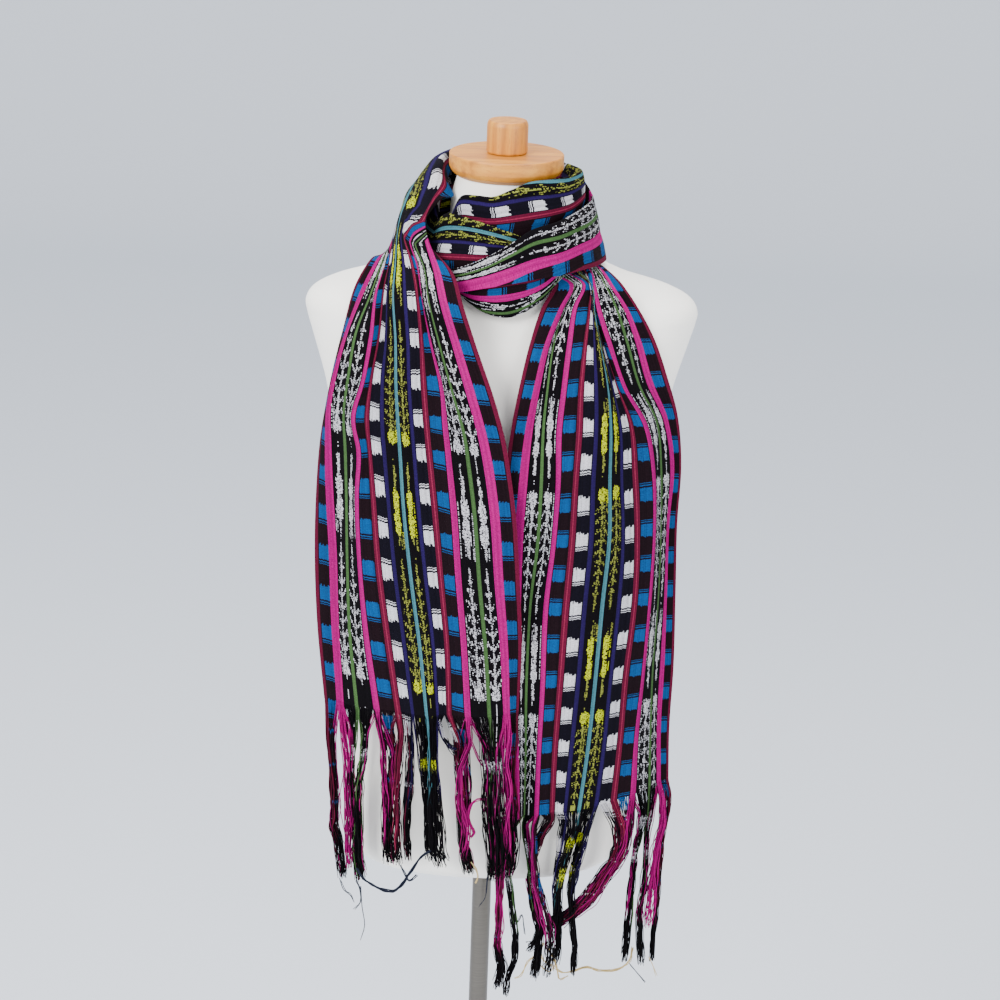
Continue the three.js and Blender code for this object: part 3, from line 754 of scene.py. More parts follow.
def add_torso():
    rows = [[row["half"], row["front"], row["back"], row["z"]] for row in TORSO]
    shape = smooth(rows, TORSO_STEPS)
    points = []
    for half, front, back, z in shape:
        neckness = min(1, max(0, (z - 1370) / 60))
        power = 2 / (2.35 - 0.35 * neckness)
        for i in range(TORSO_SIDES):
            a = i / TORSO_SIDES * 2 * math.pi
            c, s = math.cos(a), math.sin(a)
            depth = front if s < 0 else back
            x = half * math.copysign(abs(c) ** power, c)
            y = depth * math.copysign(abs(s) ** power, s)
            points.append((x, y, z))
    faces = []
    for ring in range(len(shape) - 1):
        for i in range(TORSO_SIDES):
            a, b = ring * TORSO_SIDES + i, ring * TORSO_SIDES + (i + 1) % TORSO_SIDES
            faces.append((a, b, b + TORSO_SIDES, a + TORSO_SIDES))
    last = (len(shape) - 1) * TORSO_SIDES
    faces.append(tuple(range(TORSO_SIDES - 1, -1, -1)))
    faces.append(tuple(last + i for i in range(TORSO_SIDES)))
    torso = make_mesh("torso_look", points, faces, FORM_COVER, 40)
    settle(torso, "form_cover", "form_torso")
    return torso


add_torso()

# ---- cloth ----
FLATS = [-110, -92, -72, -52, -33, 0, 33, 52, 72, 92, 110]

# The chest that the tails lie on: reach of the middle, and how fast it falls back sideways.
CHEST = named_rows("z reach fall", [
    (780, 118, 0.0021),
    (1235, 118, 0.0021),
    (1300, 113, 0.0017),
    (1340, 96, 0.0014),
    (1380, 80, 0.0012),
    (1410, 70, 0.0012),
])


def table_at(table, key, column, value):
    return np.interp(value, [row[key] for row in table], [row[column] for row in table])


def chest_at(x, z):
    return -table_at(CHEST, "z", "reach", z) + table_at(CHEST, "z", "fall", z) * x * x


def tail_row(z, places, leans, depth, lift):
    relief = [0.0]
    for i in range(1, len(places)):
        flat = FLATS[i] - FLATS[i - 1]
        seen = places[i] - places[i - 1]
        hidden = math.sqrt(max(0, flat * flat - seen * seen))
        relief.append(relief[-1] + leans[i - 1] * depth * hidden)
    deepest = max(relief)
    return [(x, chest_at(x, z) + r - deepest - lift(x, z), z) for x, r in zip(places, relief)]


# Rows from the hem up: height, tilt of the row, share of the pleats' depth, and where each of the eleven
# woven lines hangs.
LEFT_TAIL = named_rows("z tilt pleat places", [
    (968, 0.1, 1, [-163, -147, -129, -109, -87, -59, -38, -19, 2, 19, 30]),
    (1040, 0.04, 1, [-172, -154, -138, -121, -99, -68, -42, -25, -4, 14, 31]),
    (1110, 0, 1, [-176, -158, -142, -129, -110, -79, -50, -32, -12, 7, 27]),
    (1180, 0, 1, [-175, -163, -144, -133, -117, -88, -58, -38, -19, 1, 21]),
    (1225, 0, 1, [-172, -165, -146, -132, -122, -92, -64, -44, -26, -6, 14]),
    (1260, 0, 1, [-167, -165, -148, -138, -125, -95, -68, -49, -32, -14, 7]),
    (1300, 0, 1, [-160, -158, -144, -129, -122, -98, -72, -54, -45, -26, -5]),
    (1340, 0, 1, [-151, -147, -138, -123, -116, -100, -75, -66, -58, -40, -21]),
    (1380, 0, 0.8, [-141, -132, -124, -120, -113, -104, -80, -76, -70, -54, -36]),
    (1405, 0, 0.25, [-127, -120, -115, -112, -109, -103, -86, -81, -75, -62, -46]),
])
LEFT_LEANS = [-1, -1, -1, 1, -1, 1, 1, -1, 1, 1]

RIGHT_TAIL = named_rows("z tilt pleat places", [
    (866, 0.13, 1, [27, 33, 40, 52, 68, 94, 128, 148, 165, 175, 185]),
    (930, 0.06, 1, [20, 29, 39, 52, 68, 100, 132, 149, 163, 172, 183]),
    (1000, 0, 1, [16, 25, 37, 53, 70, 104, 134, 153, 162, 172, 184]),
    (1080, 0, 1, [12, 25, 38, 53, 73, 108, 140, 156, 164, 171, 182]),
    (1150, 0, 1, [9, 24, 43, 58, 76, 112, 139, 157, 163, 170, 180]),
    (1210, 0, 1, [9, 26, 44, 60, 77, 110, 134, 153, 160, 172, 181]),
    (1260, 0, 1, [13, 30, 44, 59, 79, 109, 128, 142, 153, 162, 175]),
    (1300, 0, 1, [19, 36, 46, 62, 79, 105, 113, 120, 134, 144, 163]),
    (1340, 0, 1, [28, 45, 51, 66, 82, 96, 98, 104, 121, 131, 148]),
    (1370, 0, 0.7, [38, 58, 61, 70, 85, 89, 88, 93, 110, 118, 131]),
    (1390, 0, 0.3, [49, 67, 69, 78, 84, 86, 84, 88, 99, 104, 116]),
])
RIGHT_LEANS = [-1, 1, -1, 1, -1, 1, -1, 1, 1, -1]
RIGHT_HEAD = named_rows("from to inner outer z", [
    (36, 74, 78, 102, 1399),
    (37, 79, 71, 79, 1410),
    (39, 82, 66, 69, 1424),
])
LEFT_DEPTH = 0.42
RIGHT_DEPTH = 0.36


def left_lift(x, z):
    over_right = 17 * step01(-75, 2, x)
    over_loops = 25 * step01(-112, -42, x) * step01(1300, 1385, z)
    return over_right + over_loops


def right_lift(x, z):
    under_left = 5 * (1 - step01(40, 85, x)) * (1 - step01(1120, 1200, z))
    under_loops = 10 * step01(1345, 1385, z) * (1 - step01(75, 110, x))
    return -under_left - under_loops


def polar(angle, radius, z):
    a = math.radians(angle)
    return (radius * math.sin(a), -radius * math.cos(a), z)


def tail_rows(table, leans, depth, lift, middle):
    rows = []
    for row in table:
        points = tail_row(row["z"], row["places"], leans, depth * row["pleat"], lift)
        rows.append([(x, y, z + row["tilt"] * (x - middle)) for x, y, z in points])
    return rows


OUTER_BACK = named_rows("edgeL greenL middle greenR pinkR edgeR", [
    ((-76, 122, 1404), (-75, 116, 1409), (-72, 108, 1424), (-56, 102, 1423), (-46, 101, 1430),
     (-52, 94, 1426)),
    ((-84, 112, 1403), (-83, 110, 1412), (-80, 103, 1436), (-61, 99, 1443), (-51, 98, 1446),
     (-58, 92, 1440)),
    ((-92, 108, 1403), (-90, 107, 1414), (-84, 100, 1446), (-65, 93, 1456), (-59, 86, 1461),
     (-57, 73, 1464)),
    ((-100, 107, 1403), (-98, 106, 1414), (-90, 97, 1454), (-72, 85, 1468), (-68, 71, 1478),
     (-62, 57, 1464)),
    ((-108, 107, 1402), (-106, 105, 1416), (-100, 94, 1460), (-90, 78, 1480), (-86, 65, 1489),
     (-82, 57, 1474)),
    ((-126, 105, 1398), (-125, 104, 1416), (-122, 93, 1464), (-118, 77, 1490), (-117, 67, 1493),
     (-116, 59, 1478)),
    ((-152, 99, 1384), (-152, 101, 1412), (-151, 92, 1466), (-150, 78, 1494), (-150, 69, 1495),
     (-150, 62, 1481)),
    ((-180, 97, 1376), (-180, 100, 1408), (-180, 91, 1464), (-180, 79, 1494), (-180, 71, 1495),
     (-180, 65, 1482)),
    ((-210, 98, 1386), (-210, 99, 1412), (-210, 90, 1462), (-210, 80, 1489), (-210, 73, 1490),
     (-210, 69, 1479)),
    ((-241.6, 99, 1402), (-241.6, 96.5, 1418), (-241.6, 90, 1446), (-241.6, 82, 1473), (-241.6, 79, 1479),
     (-241.6, 75.5, 1469)),
])
BACK_FLATS = {"edgeL": -110, "greenL": -72, "middle": 0, "greenR": 72, "pinkR": 92, "edgeR": 110}

# Which line of the flat cloth each of these is round the back, where the upper part is rolled over: pairs of
# an angle and a place across the cloth.
BACK_WEAVE = {
    "edgeL": [(0, -110)],
    "greenL": [(180, -72), (241.6, -94)],
    "middle": [(80, 0), (92, -4), (180, -30), (241.6, -66)],
    "greenR": [(73, 72), (80, 26), (84, 14), (122, 11), (180, 2), (241.6, -39)],
    "pinkR": [(73, 92), (80, 36), (84, 25), (122, 20), (180, 10), (241.6, -33)],
    "edgeR": [(73, 110), (80, 48), (122, 48), (180, 24), (241.6, -23)],
}

OUTER_FRONT = named_rows("at edge pink green leaf lip", [
    (118, (99, 1402), (94.5, 1426), (88, 1452), (79, 1479), (75.5, 1469)),
    (90, (100, 1402), (94.5, 1427), (89, 1447), (84, 1462), (80.5, 1453)),
    (71, (98.5, 1403), (93, 1425), (88, 1444), (83, 1460), (79.5, 1451)),
    (53, (97.5, 1404), (93, 1424), (88, 1442), (82.5, 1456), (79, 1447)),
    (36, (98, 1403), (94, 1420), (89, 1438), (84, 1451), (80.5, 1442)),
    (18, (98.5, 1401), (94.5, 1416), (90, 1434), (86, 1446), (82.5, 1437)),
    (4, (100, 1397), (97, 1409), (93, 1423), (89, 1433), (85.5, 1424)),
    (-10, (101, 1392), (98.5, 1401), (95.5, 1411), (92, 1420), (89, 1411)),
    (-24, (102, 1386), (100, 1394), (97.5, 1402), (94.5, 1409), (91.5, 1400)),
    (-38, (101, 1383), (99.5, 1390), (97.5, 1396), (95.5, 1402), (92.5, 1394)),
])
OUTER_MIDDLE = named_rows("at tuck crimson middle fold lip", [
    (22, (82, 1408), (81, 1418), (79.5, 1426), (78, 1431), (76, 1422)),
    (8, (82.5, 1408), (82.5, 1421), (80, 1434), (78.5, 1440), (76, 1428)),
    (-10, (85, 1405), (86, 1419), (82, 1441), (79.5, 1448), (76, 1438)),
    (-28, (86, 1403), (86.5, 1417), (81, 1443), (78.5, 1453), (75, 1442)),
    (-45, (87, 1400), (87, 1414), (81, 1439), (77.5, 1453), (74, 1442)),
    (-58, (87, 1400), (85, 1413), (79, 1431), (75, 1442), (72, 1433)),
])
INNER_BACK = named_rows("at end low middle fold lip", [
    (-58.3, (87, 1400), (85, 1413), (79, 1431), (75, 1442), (72, 1433)),
    (-75, (90, 1404), (85, 1416), (77, 1432), (70, 1447), (66, 1437)),
    (-100, (91, 1406), (86, 1419), (76, 1442), (67, 1464), (62.5, 1453)),
    (-130, (90, 1401), (85, 1418), (76, 1446), (67, 1470), (61.5, 1458)),
    (-180, (88, 1388), (85, 1415), (78, 1446), (70, 1474), (64, 1462)),
    (-210, (88, 1398), (84, 1417), (77, 1448), (68, 1469), (62, 1458)),
    (-241.7, (87, 1409), (78, 1428), (74, 1450), (68, 1487), (61, 1475)),
])
INNER_FRONT = named_rows("at hem bottom middle crimson fold lip", [
    (118, (89.5, 1421), (87, 1409), (75, 1438), (73, 1464), (68, 1487), (61, 1475)),
    (90, (90.5, 1421), (89, 1409), (75, 1440), (77, 1466), (72, 1488), (62, 1476)),
    (60, (90, 1420), (88, 1408), (73, 1436), (74, 1461), (68, 1488), (60, 1475)),
    (40, (92, 1414), (89, 1398), (72.5, 1432), (72.5, 1459), (65.5, 1488), (58, 1475)),
    (22, (94.5, 1402), (91, 1374), (72, 1428), (71, 1457), (63.5, 1487), (57, 1474)),
    (5, (96, 1398), (93, 1363), (72, 1426), (71, 1454), (65, 1480), (58, 1468)),
    (-10, (97, 1393), (93, 1367), (72, 1427), (71.5, 1451), (67, 1473), (60, 1461)),
    (-22, (96, 1389), (93, 1378), (72, 1426), (71, 1451), (68, 1473), (61, 1462)),
    (-38, (89, 1395), (86, 1388), (71, 1424), (69.5, 1449), (67, 1470), (61, 1459)),
    (-50, (84, 1401), (82.5, 1396), (70, 1420), (68, 1438), (65, 1451), (60, 1442)),
])

# What each line of a loop is in the flat cloth, at one or more angles, the angle of one of its squares, and
# the angle of a repeat. "figure" is where the long figure stands at the front and how fast it runs round.
FRONT_WEAVE = {
    "figure": (230, 1.5),
    "edge": {
        "flat": [(-38, 93), (-24, 94), (-10, 95), (4, 97), (18, 101), (36, 106), (53, 110)],
        "square": 10,
        "repeat": 23.5,
    },
    "pink": {"flat": [(90, 91.5), (118, 86)], "square": 10, "repeat": 24},
    "green": {"flat": [(90, 72), (118, 60)], "square": 10, "repeat": 24.5},
    "leaf": {"flat": [(90, 56), (118, 33)], "square": 10, "repeat": 25},
    "lip": {"flat": [(90, 46), (118, 23)], "square": 10, "repeat": 25},
}
MIDDLE_WEAVE = {
    "figure": (130, 1.0),
    "tuck": {"flat": [(0, 46)], "square": -15, "repeat": 25},
    "crimson": {"flat": [(0, 33)], "square": -15, "repeat": 25},
    "middle": {"flat": [(0, 0)], "square": -15, "repeat": 25},
    "fold": {"flat": [(-45, -12), (-28, -10), (-10, -7), (8, -5)], "square": -15, "repeat": 25},
    "lip": {"flat": [(0, -22)], "square": -15, "repeat": 25},
}
INNER_BACK_WEAVE = {
    "figure": (130, 1.0),
    "end": {"flat": [(0, 46)], "square": -15, "repeat": 25},
    "low": {"flat": [(0, 33)], "square": -15, "repeat": 25},
    "middle": {"flat": [(0, 0)], "square": -15, "repeat": 25},
    "fold": {"flat": [(-100, -24), (-58.3, -12)], "square": -15, "repeat": 25},
    "lip": {"flat": [(-100, -34), (-58.3, -22)], "square": -15, "repeat": 25},
}
INNER_FRONT_WEAVE = {
    "figure": (165, 0.55),
    "hem": {"flat": [(0, 110)], "square": -4, "repeat": 22.2},
    "bottom": {
        "flat": [(-50, 84), (-22, 74), (-10, 69), (5, 65), (22, 60), (60, 66)],
        "square": -4,
        "repeat": 22.2,
    },
    "middle": {"flat": [(0, 58)], "square": -4, "repeat": 26},
    "crimson": {"flat": [(0, 33)], "square": 0, "repeat": 29.4},
    "fold": {
        "flat": [(-50, 12), (-38, 10), (-10, 8), (5, 5), (22, 0), (40, -2), (60, -4), (118, -6)],
        "square": -5,
        "repeat": 29.4,
    },
    "lip": {"flat": [(-10, -4), (22, -12), (118, -18)], "square": -5, "repeat": 29.4},
}


def loop_rows(table):
    rows = []
    for row in table:
        rows.append([polar(row["at"], *row[key]) for key in row if key != "at"])
    return rows


def loop_weave(table, weave, across, along):
    """For every point of a loop's grid: its place across the flat cloth, along it, and in the figure."""
    flats, lengths, figures = [], [], []
    start, rate = weave["figure"]
    for row, points in zip(table, loop_rows(table)):
        keys = [key for key in row if key != "at"]
        curve = smooth(points, across)
        run = np.concatenate([[0], np.cumsum(np.linalg.norm(np.diff(curve, axis=0), axis=1))])
        places = []
        for key in keys:
            angles, values = zip(*weave[key]["flat"])
            places.append(np.interp(row["at"], angles, values))
        flats.append(np.interp(run, run[::across], places))
        turns = [(weave[key]["square"] - row["at"]) / weave[key]["repeat"] for key in keys]
        lengths.append(np.interp(run, run[::across], [(turn + 0.5) * CHECK_REPEAT for turn in turns]))
        figures.append([start - rate * row["at"]] * len(curve))
    return [spread(np.array(values), along) for values in (flats, lengths, figures)]


def outer_back_rows():
    rows = []
    for row in OUTER_BACK:
        keys = list(row)
        fine = 40
        curve = smooth([polar(*row[key]) for key in keys], fine)
        flats = [BACK_FLATS[key] for key in keys]
        share = np.interp(FLATS, flats, np.arange(len(keys)))
        whole = share * fine
        low = np.floor(whole).astype(int).clip(0, len(curve) - 2)
        part = (whole - low)[:, None]
        rows.append(curve[low] * (1 - part) + curve[low + 1] * part)
    return rows


def arc_along(grid):
    """Distance along every column of a grid from its first row."""
    steps = np.linalg.norm(np.diff(grid, axis=0), axis=-1)
    return np.concatenate([np.zeros((1, grid.shape[1])), np.cumsum(steps, axis=0)])


def normals_of(grid):
    along = np.gradient(grid, axis=0)
    across = np.gradient(grid, axis=1)
    normal = np.cross(across, along)
    return normal / np.linalg.norm(normal, axis=-1, keepdims=True)


def shell(name, grid, flats, lengths, figures, wall=CLOTH_WALL):
    """A closed thin cloth about a grid of middle points, with its place in the flat cloth as two UV maps."""
    rows, cols = grid.shape[:2]
    normal = normals_of(grid)
    front = grid + normal * wall / 2
    back = grid - normal * wall / 2
    points = np.concatenate([front.reshape(-1, 3), back.reshape(-1, 3)])
    n = rows * cols
    index = np.arange(n).reshape(rows, cols)
    a, b, c, d = index[:-1, :-1], index[:-1, 1:], index[1:, 1:], index[1:, :-1]
    faces = [np.stack([a, b, c, d], -1).reshape(-1, 4)]
    faces.append(np.stack([a, d, c, b], -1).reshape(-1, 4) + n)
    low, high = index[0], index[-1]
    left, right = index[:, 0], index[:, -1]
    faces.append(np.stack([low[1:], low[:-1], low[:-1] + n, low[1:] + n], -1))
    faces.append(np.stack([high[:-1], high[1:], high[1:] + n, high[:-1] + n], -1))
    faces.append(np.stack([left[:-1], left[1:], left[1:] + n, left[:-1] + n], -1))
    faces.append(np.stack([right[1:], right[:-1], right[:-1] + n, right[1:] + n], -1))
    faces = np.concatenate(faces)
    # the body faces out when its signed volume is positive
    p, q, r, s = (points[faces[:, k]] for k in range(4))
    volume = (p * np.cross(q, r)).sum() + (p * np.cross(r, s)).sum()
    if volume < 0:
        faces = faces[:, ::-1]
    piece = make_mesh(name, points, [tuple(int(k) for k in f) for f in faces], IKAT_CLOTH, 60)
    mesh = piece.data
    corner = np.zeros(len(mesh.loops), np.int32)
    mesh.loops.foreach_get("vertex_index", corner)
    corner = corner % n
    for label, u, v in (("cloth", flats, lengths), ("figure", flats, figures)):
        layer = mesh.uv_layers.new(name=label)
        pairs = np.stack([u.reshape(-1)[corner], v.reshape(-1)[corner]], -1) * MM
        layer.data.foreach_set("uv", pairs.reshape(-1).astype(np.float32))
    return piece


def hem_of(grid, flats, lengths):
    """A look-up from a warp thread's place across the cloth to its end at the hem."""
    order = np.argsort(flats[0])
    u = flats[0][order]

    def hem(place):
        spot = [np.interp(place, u, grid[0][order, k]) for k in range(3)]
        return np.array(spot), np.interp(place, u, lengths[0][order])

    return hem


# Heights of the tied squares on each tail, from the hem up, and which of them starts the count along it.
LEFT_SQUARES = [914, 951, 989, 1026.5, 1066, 1107.5, 1150, 1190.5, 1231.5, 1265, 1302.5, 1343, 1375]
LEFT_SQUARES += [1409.5, 1444]
LEFT_FIRST = 6
RIGHT_SQUARES = [829, 865, 900, 934.5, 971, 1007, 1042.5, 1080, 1115, 1152, 1188.5, 1231, 1265, 1300]
RIGHT_SQUARES += [1331.5, 1361.5, 1391, 1425]
RIGHT_FIRST = 9
# Where the long figure stands along the tails.
LEFT_FIGURE = named_rows("z figure", [
    (842, -152),
    (987, -160),
    (991, -148),
    (995, -142),
    (1125.5, -22),
    (1136.5, -10),
    (1149, 2),
    (1170, 18),
    (1177, 26),
    (1196, 42),
    (1200, 46),
    (1219, 66),
    (1240, 84),
    (1362, 210),
    (1373, 222),
    (1390, 234),
    (1406, 250),
    (1411, 258),
    (1427, 274),
])
RIGHT_FIGURE = named_rows("z figure", [
    (870.5, 410),
    (971, 316),
    (986, 298),
    (1000.5, 278),
    (1006, 274),
    (1016, 258),
    (1033, 250),
    (1047, 234),
    (1060, 222),
    (1073, 210),
    (1203, 84),
    (1218, 66),
    (1233, 46),
    (1236, 42),
    (1248, 26),
    (1256, 18),
    (1276, 2),
    (1290, -10),
    (1302, -22),
    (1424, -156),
])


def squares_at(heights, first, way, z):
    """Distance along the cloth at a height, from the heights of its squares."""
    return (way * (np.interp(z, heights, np.arange(len(heights))) - first) + 0.5) * CHECK_REPEAT


# Soft creases, as troughs (below 0) and ridges: each runs between two spots of its piece, given as shares of
# the width and of the length, with its height and half width in millimetres and how slowly its ends fade.
LEFT_CREASES = named_rows("from to height spread fade", [
    ((0.10, 0.00), (0.16, 0.34), -1.6, 6, 0.05),
    ((0.33, 0.05), (0.30, 0.28), 1.3, 5, 0.06),
    ((0.47, 0.10), (0.52, 0.46), -1.5, 7, 0.08),
    ((0.66, 0.02), (0.70, 0.22), 1.4, 5, 0.04),
    ((0.83, 0.12), (0.79, 0.50), -1.7, 6, 0.07),
    ((0.22, 0.40), (0.36, 0.56), -1.8, 5, 0.04),
    ((0.60, 0.44), (0.62, 0.58), 1.5, 4, 0.04),
    ((0.92, 0.30), (0.90, 0.52), 1.0, 4, 0.05),
    ((0.30, 0.64), (0.22, 0.84), -1.6, 6, 0.04),
    ((0.48, 0.70), (0.52, 0.93), 1.4, 5, 0.05),
    ((0.14, 0.76), (0.18, 0.97), 1.2, 4, 0.04),
    ((0.66, 0.78), (0.60, 0.90), -1.3, 5, 0.03),
])
RIGHT_CREASES = named_rows("from to height spread fade", [
    ((0.12, 0.00), (0.09, 0.30), 1.3, 5, 0.06),
    ((0.27, 0.08), (0.33, 0.40), -1.6, 6, 0.08),
    ((0.46, 0.02), (0.43, 0.26), 1.2, 6, 0.05),
    ((0.56, 0.30), (0.50, 0.66), -1.7, 7, 0.09),
    ((0.72, 0.05), (0.75, 0.38), -1.4, 5, 0.05),
    ((0.88, 0.16), (0.84, 0.46), 1.3, 5, 0.07),
    ((0.20, 0.52), (0.30, 0.88), 1.5, 5, 0.06),
    ((0.38, 0.70), (0.46, 0.96), -1.5, 5, 0.04),
    ((0.70, 0.60), (0.64, 0.90), 1.4, 4, 0.05),
])
OVER_CREASES = named_rows("from to height spread fade", [
    ((0.25, 0.05), (0.38, 0.42), -1.3, 5, 0.06),
    ((0.55, 0.22), (0.48, 0.70), 1.2, 4, 0.08),
    ((0.30, 0.62), (0.40, 0.95), -1.2, 4, 0.05),
])
MIDDLE_CREASES = named_rows("from to height spread fade", [
    ((0.30, 0.30), (0.42, 0.90), -1.2, 4, 0.09),
    ((0.60, 0.50), (0.66, 0.95), 1.0, 3.5, 0.07),
])
BACK_UNDER_CREASES = named_rows("from to height spread fade", [
    ((0.40, 0.10), (0.30, 0.50), -1.0, 5, 0.08),
    ((0.55, 0.45), (0.62, 0.85), 0.9, 4, 0.06),
])
UNDER_CREASES = named_rows("from to height spread fade", [
    ((0.62, 0.12), (0.70, 0.50), -1.2, 4, 0.06),
    ((0.76, 0.35), (0.66, 0.80), 1.1, 4, 0.08),
    ((0.22, 0.30), (0.16, 0.62), 1.2, 4, 0.05),
])


def creased(grid, creases):
    """The grid with its creases pressed in along its normals."""
    rows, cols = grid.shape[:2]
    wide = np.linalg.norm(np.diff(grid, axis=1), axis=-1).sum(axis=1).mean()
    long = np.linalg.norm(np.diff(grid, axis=0), axis=-1).sum(axis=0).mean()
    u = np.linspace(0, wide, cols)[None, :]
    v = np.linspace(0, long, rows)[:, None]
    moved = np.zeros((rows, cols))
    for crease in creases:
        start = np.array(crease["from"]) * (wide, long)
        end = np.array(crease["to"]) * (wide, long)
        run = end - start
        share = ((u - start[0]) * run[0] + (v - start[1]) * run[1]) / (run @ run)
        held = np.clip(share, 0, 1)
        away = np.hypot(u - start[0] - held * run[0], (v - start[1] - held * run[1]) * 0.35)
        ends = np.clip(share, -1, 2)
        soft = crease["fade"] * long / np.linalg.norm(run)
        fade = step01(-soft, soft, ends) * (1 - step01(1 - soft, 1 + soft, ends))
        moved += crease["height"] * np.exp(-((away / crease["spread"]) ** 2)) * fade
    return grid + normals_of(grid) * moved[..., None]


ACROSS = 9
ALONG = 12


def add_left_and_back():
    rows = tail_rows(LEFT_TAIL, LEFT_LEANS, LEFT_DEPTH, left_lift, -66) + outer_back_rows()
    grid = grid_of(rows, ACROSS, ALONG)
    head = (len(LEFT_TAIL) - 1) * ALONG
    lines = [FLATS] * len(LEFT_TAIL)
    for row in OUTER_BACK:
        shown = []
        for key, spots in BACK_WEAVE.items():
            turn = -row["middle"][0]
            shown.append(np.interp(turn, [spot[0] for spot in spots], [spot[1] for spot in spots]))
        lines.append(np.interp(FLATS, list(BACK_FLATS.values()), shown))
    flats = spread(np.array([spread(row, ACROSS) for row in lines]), ALONG)
    arc = arc_along(grid)
    z, x = grid[..., 2], grid[..., 0]
    lengths = squares_at(LEFT_SQUARES, LEFT_FIRST, 1, z + 0.016 * (x + 75))
    beyond = (arc - arc[head]).mean(axis=1, keepdims=True)
    lengths[head:] = lengths[head] + beyond[head:]
    figures = table_at(LEFT_FIGURE, "z", "figure", z)
    figures[head:] = figures[head] + beyond[head:]
    piece = shell("left_tail_and_back_look", creased(grid, LEFT_CREASES), flats, lengths, figures)
    settle(piece, "ikat_cloth", "tail_left", "wrap_back")
    return piece, hem_of(grid, flats, lengths)


def add_right():
    rows = tail_rows(RIGHT_TAIL, RIGHT_LEANS, RIGHT_DEPTH, right_lift, 105)
    for head in RIGHT_HEAD:
        share = np.arange(len(FLATS)) / (len(FLATS) - 1)
        angle = head["from"] + (head["to"] - head["from"]) * share
        radius = head["inner"] + (head["outer"] - head["inner"]) * share
        rows.append([polar(a, r, head["z"]) for a, r in zip(angle, radius)])
    grid = grid_of(rows, ACROSS, ALONG)
    flats = np.tile(spread(FLATS, ACROSS), (len(grid), 1))
    z = grid[..., 2]
    lengths = squares_at(RIGHT_SQUARES, RIGHT_FIRST, -1, z)
    figures = table_at(RIGHT_FIGURE, "z", "figure", z)
    piece = shell("right_tail_look", creased(grid, RIGHT_CREASES), flats, lengths, figures)
    settle(piece, "ikat_cloth", "tail_right")
    return piece, hem_of(grid, flats, lengths)


def add_loop(name, table, weave, creases, node, across=14, along=18):
    grid = grid_of(loop_rows(table), across, along)
    flats, lengths, figures = loop_weave(table, weave, across, along)
    piece = shell(name, creased(grid, creases), flats, lengths, figures)
    settle(piece, "ikat_cloth", node)
    return piece


left_piece, left_hem = add_left_and_back()
right_piece, right_hem = add_right()
over_piece = add_loop("over_look", OUTER_FRONT, FRONT_WEAVE, OVER_CREASES, "wrap_over")
middle_piece = add_loop("middle_look", OUTER_MIDDLE, MIDDLE_WEAVE, MIDDLE_CREASES, "wrap_middle")
back_piece = add_loop("back_under_look", INNER_BACK, INNER_BACK_WEAVE, BACK_UNDER_CREASES, "wrap_back_under")
under_piece = add_loop("under_look", INNER_FRONT, INNER_FRONT_WEAVE, UNDER_CREASES, "wrap_under")

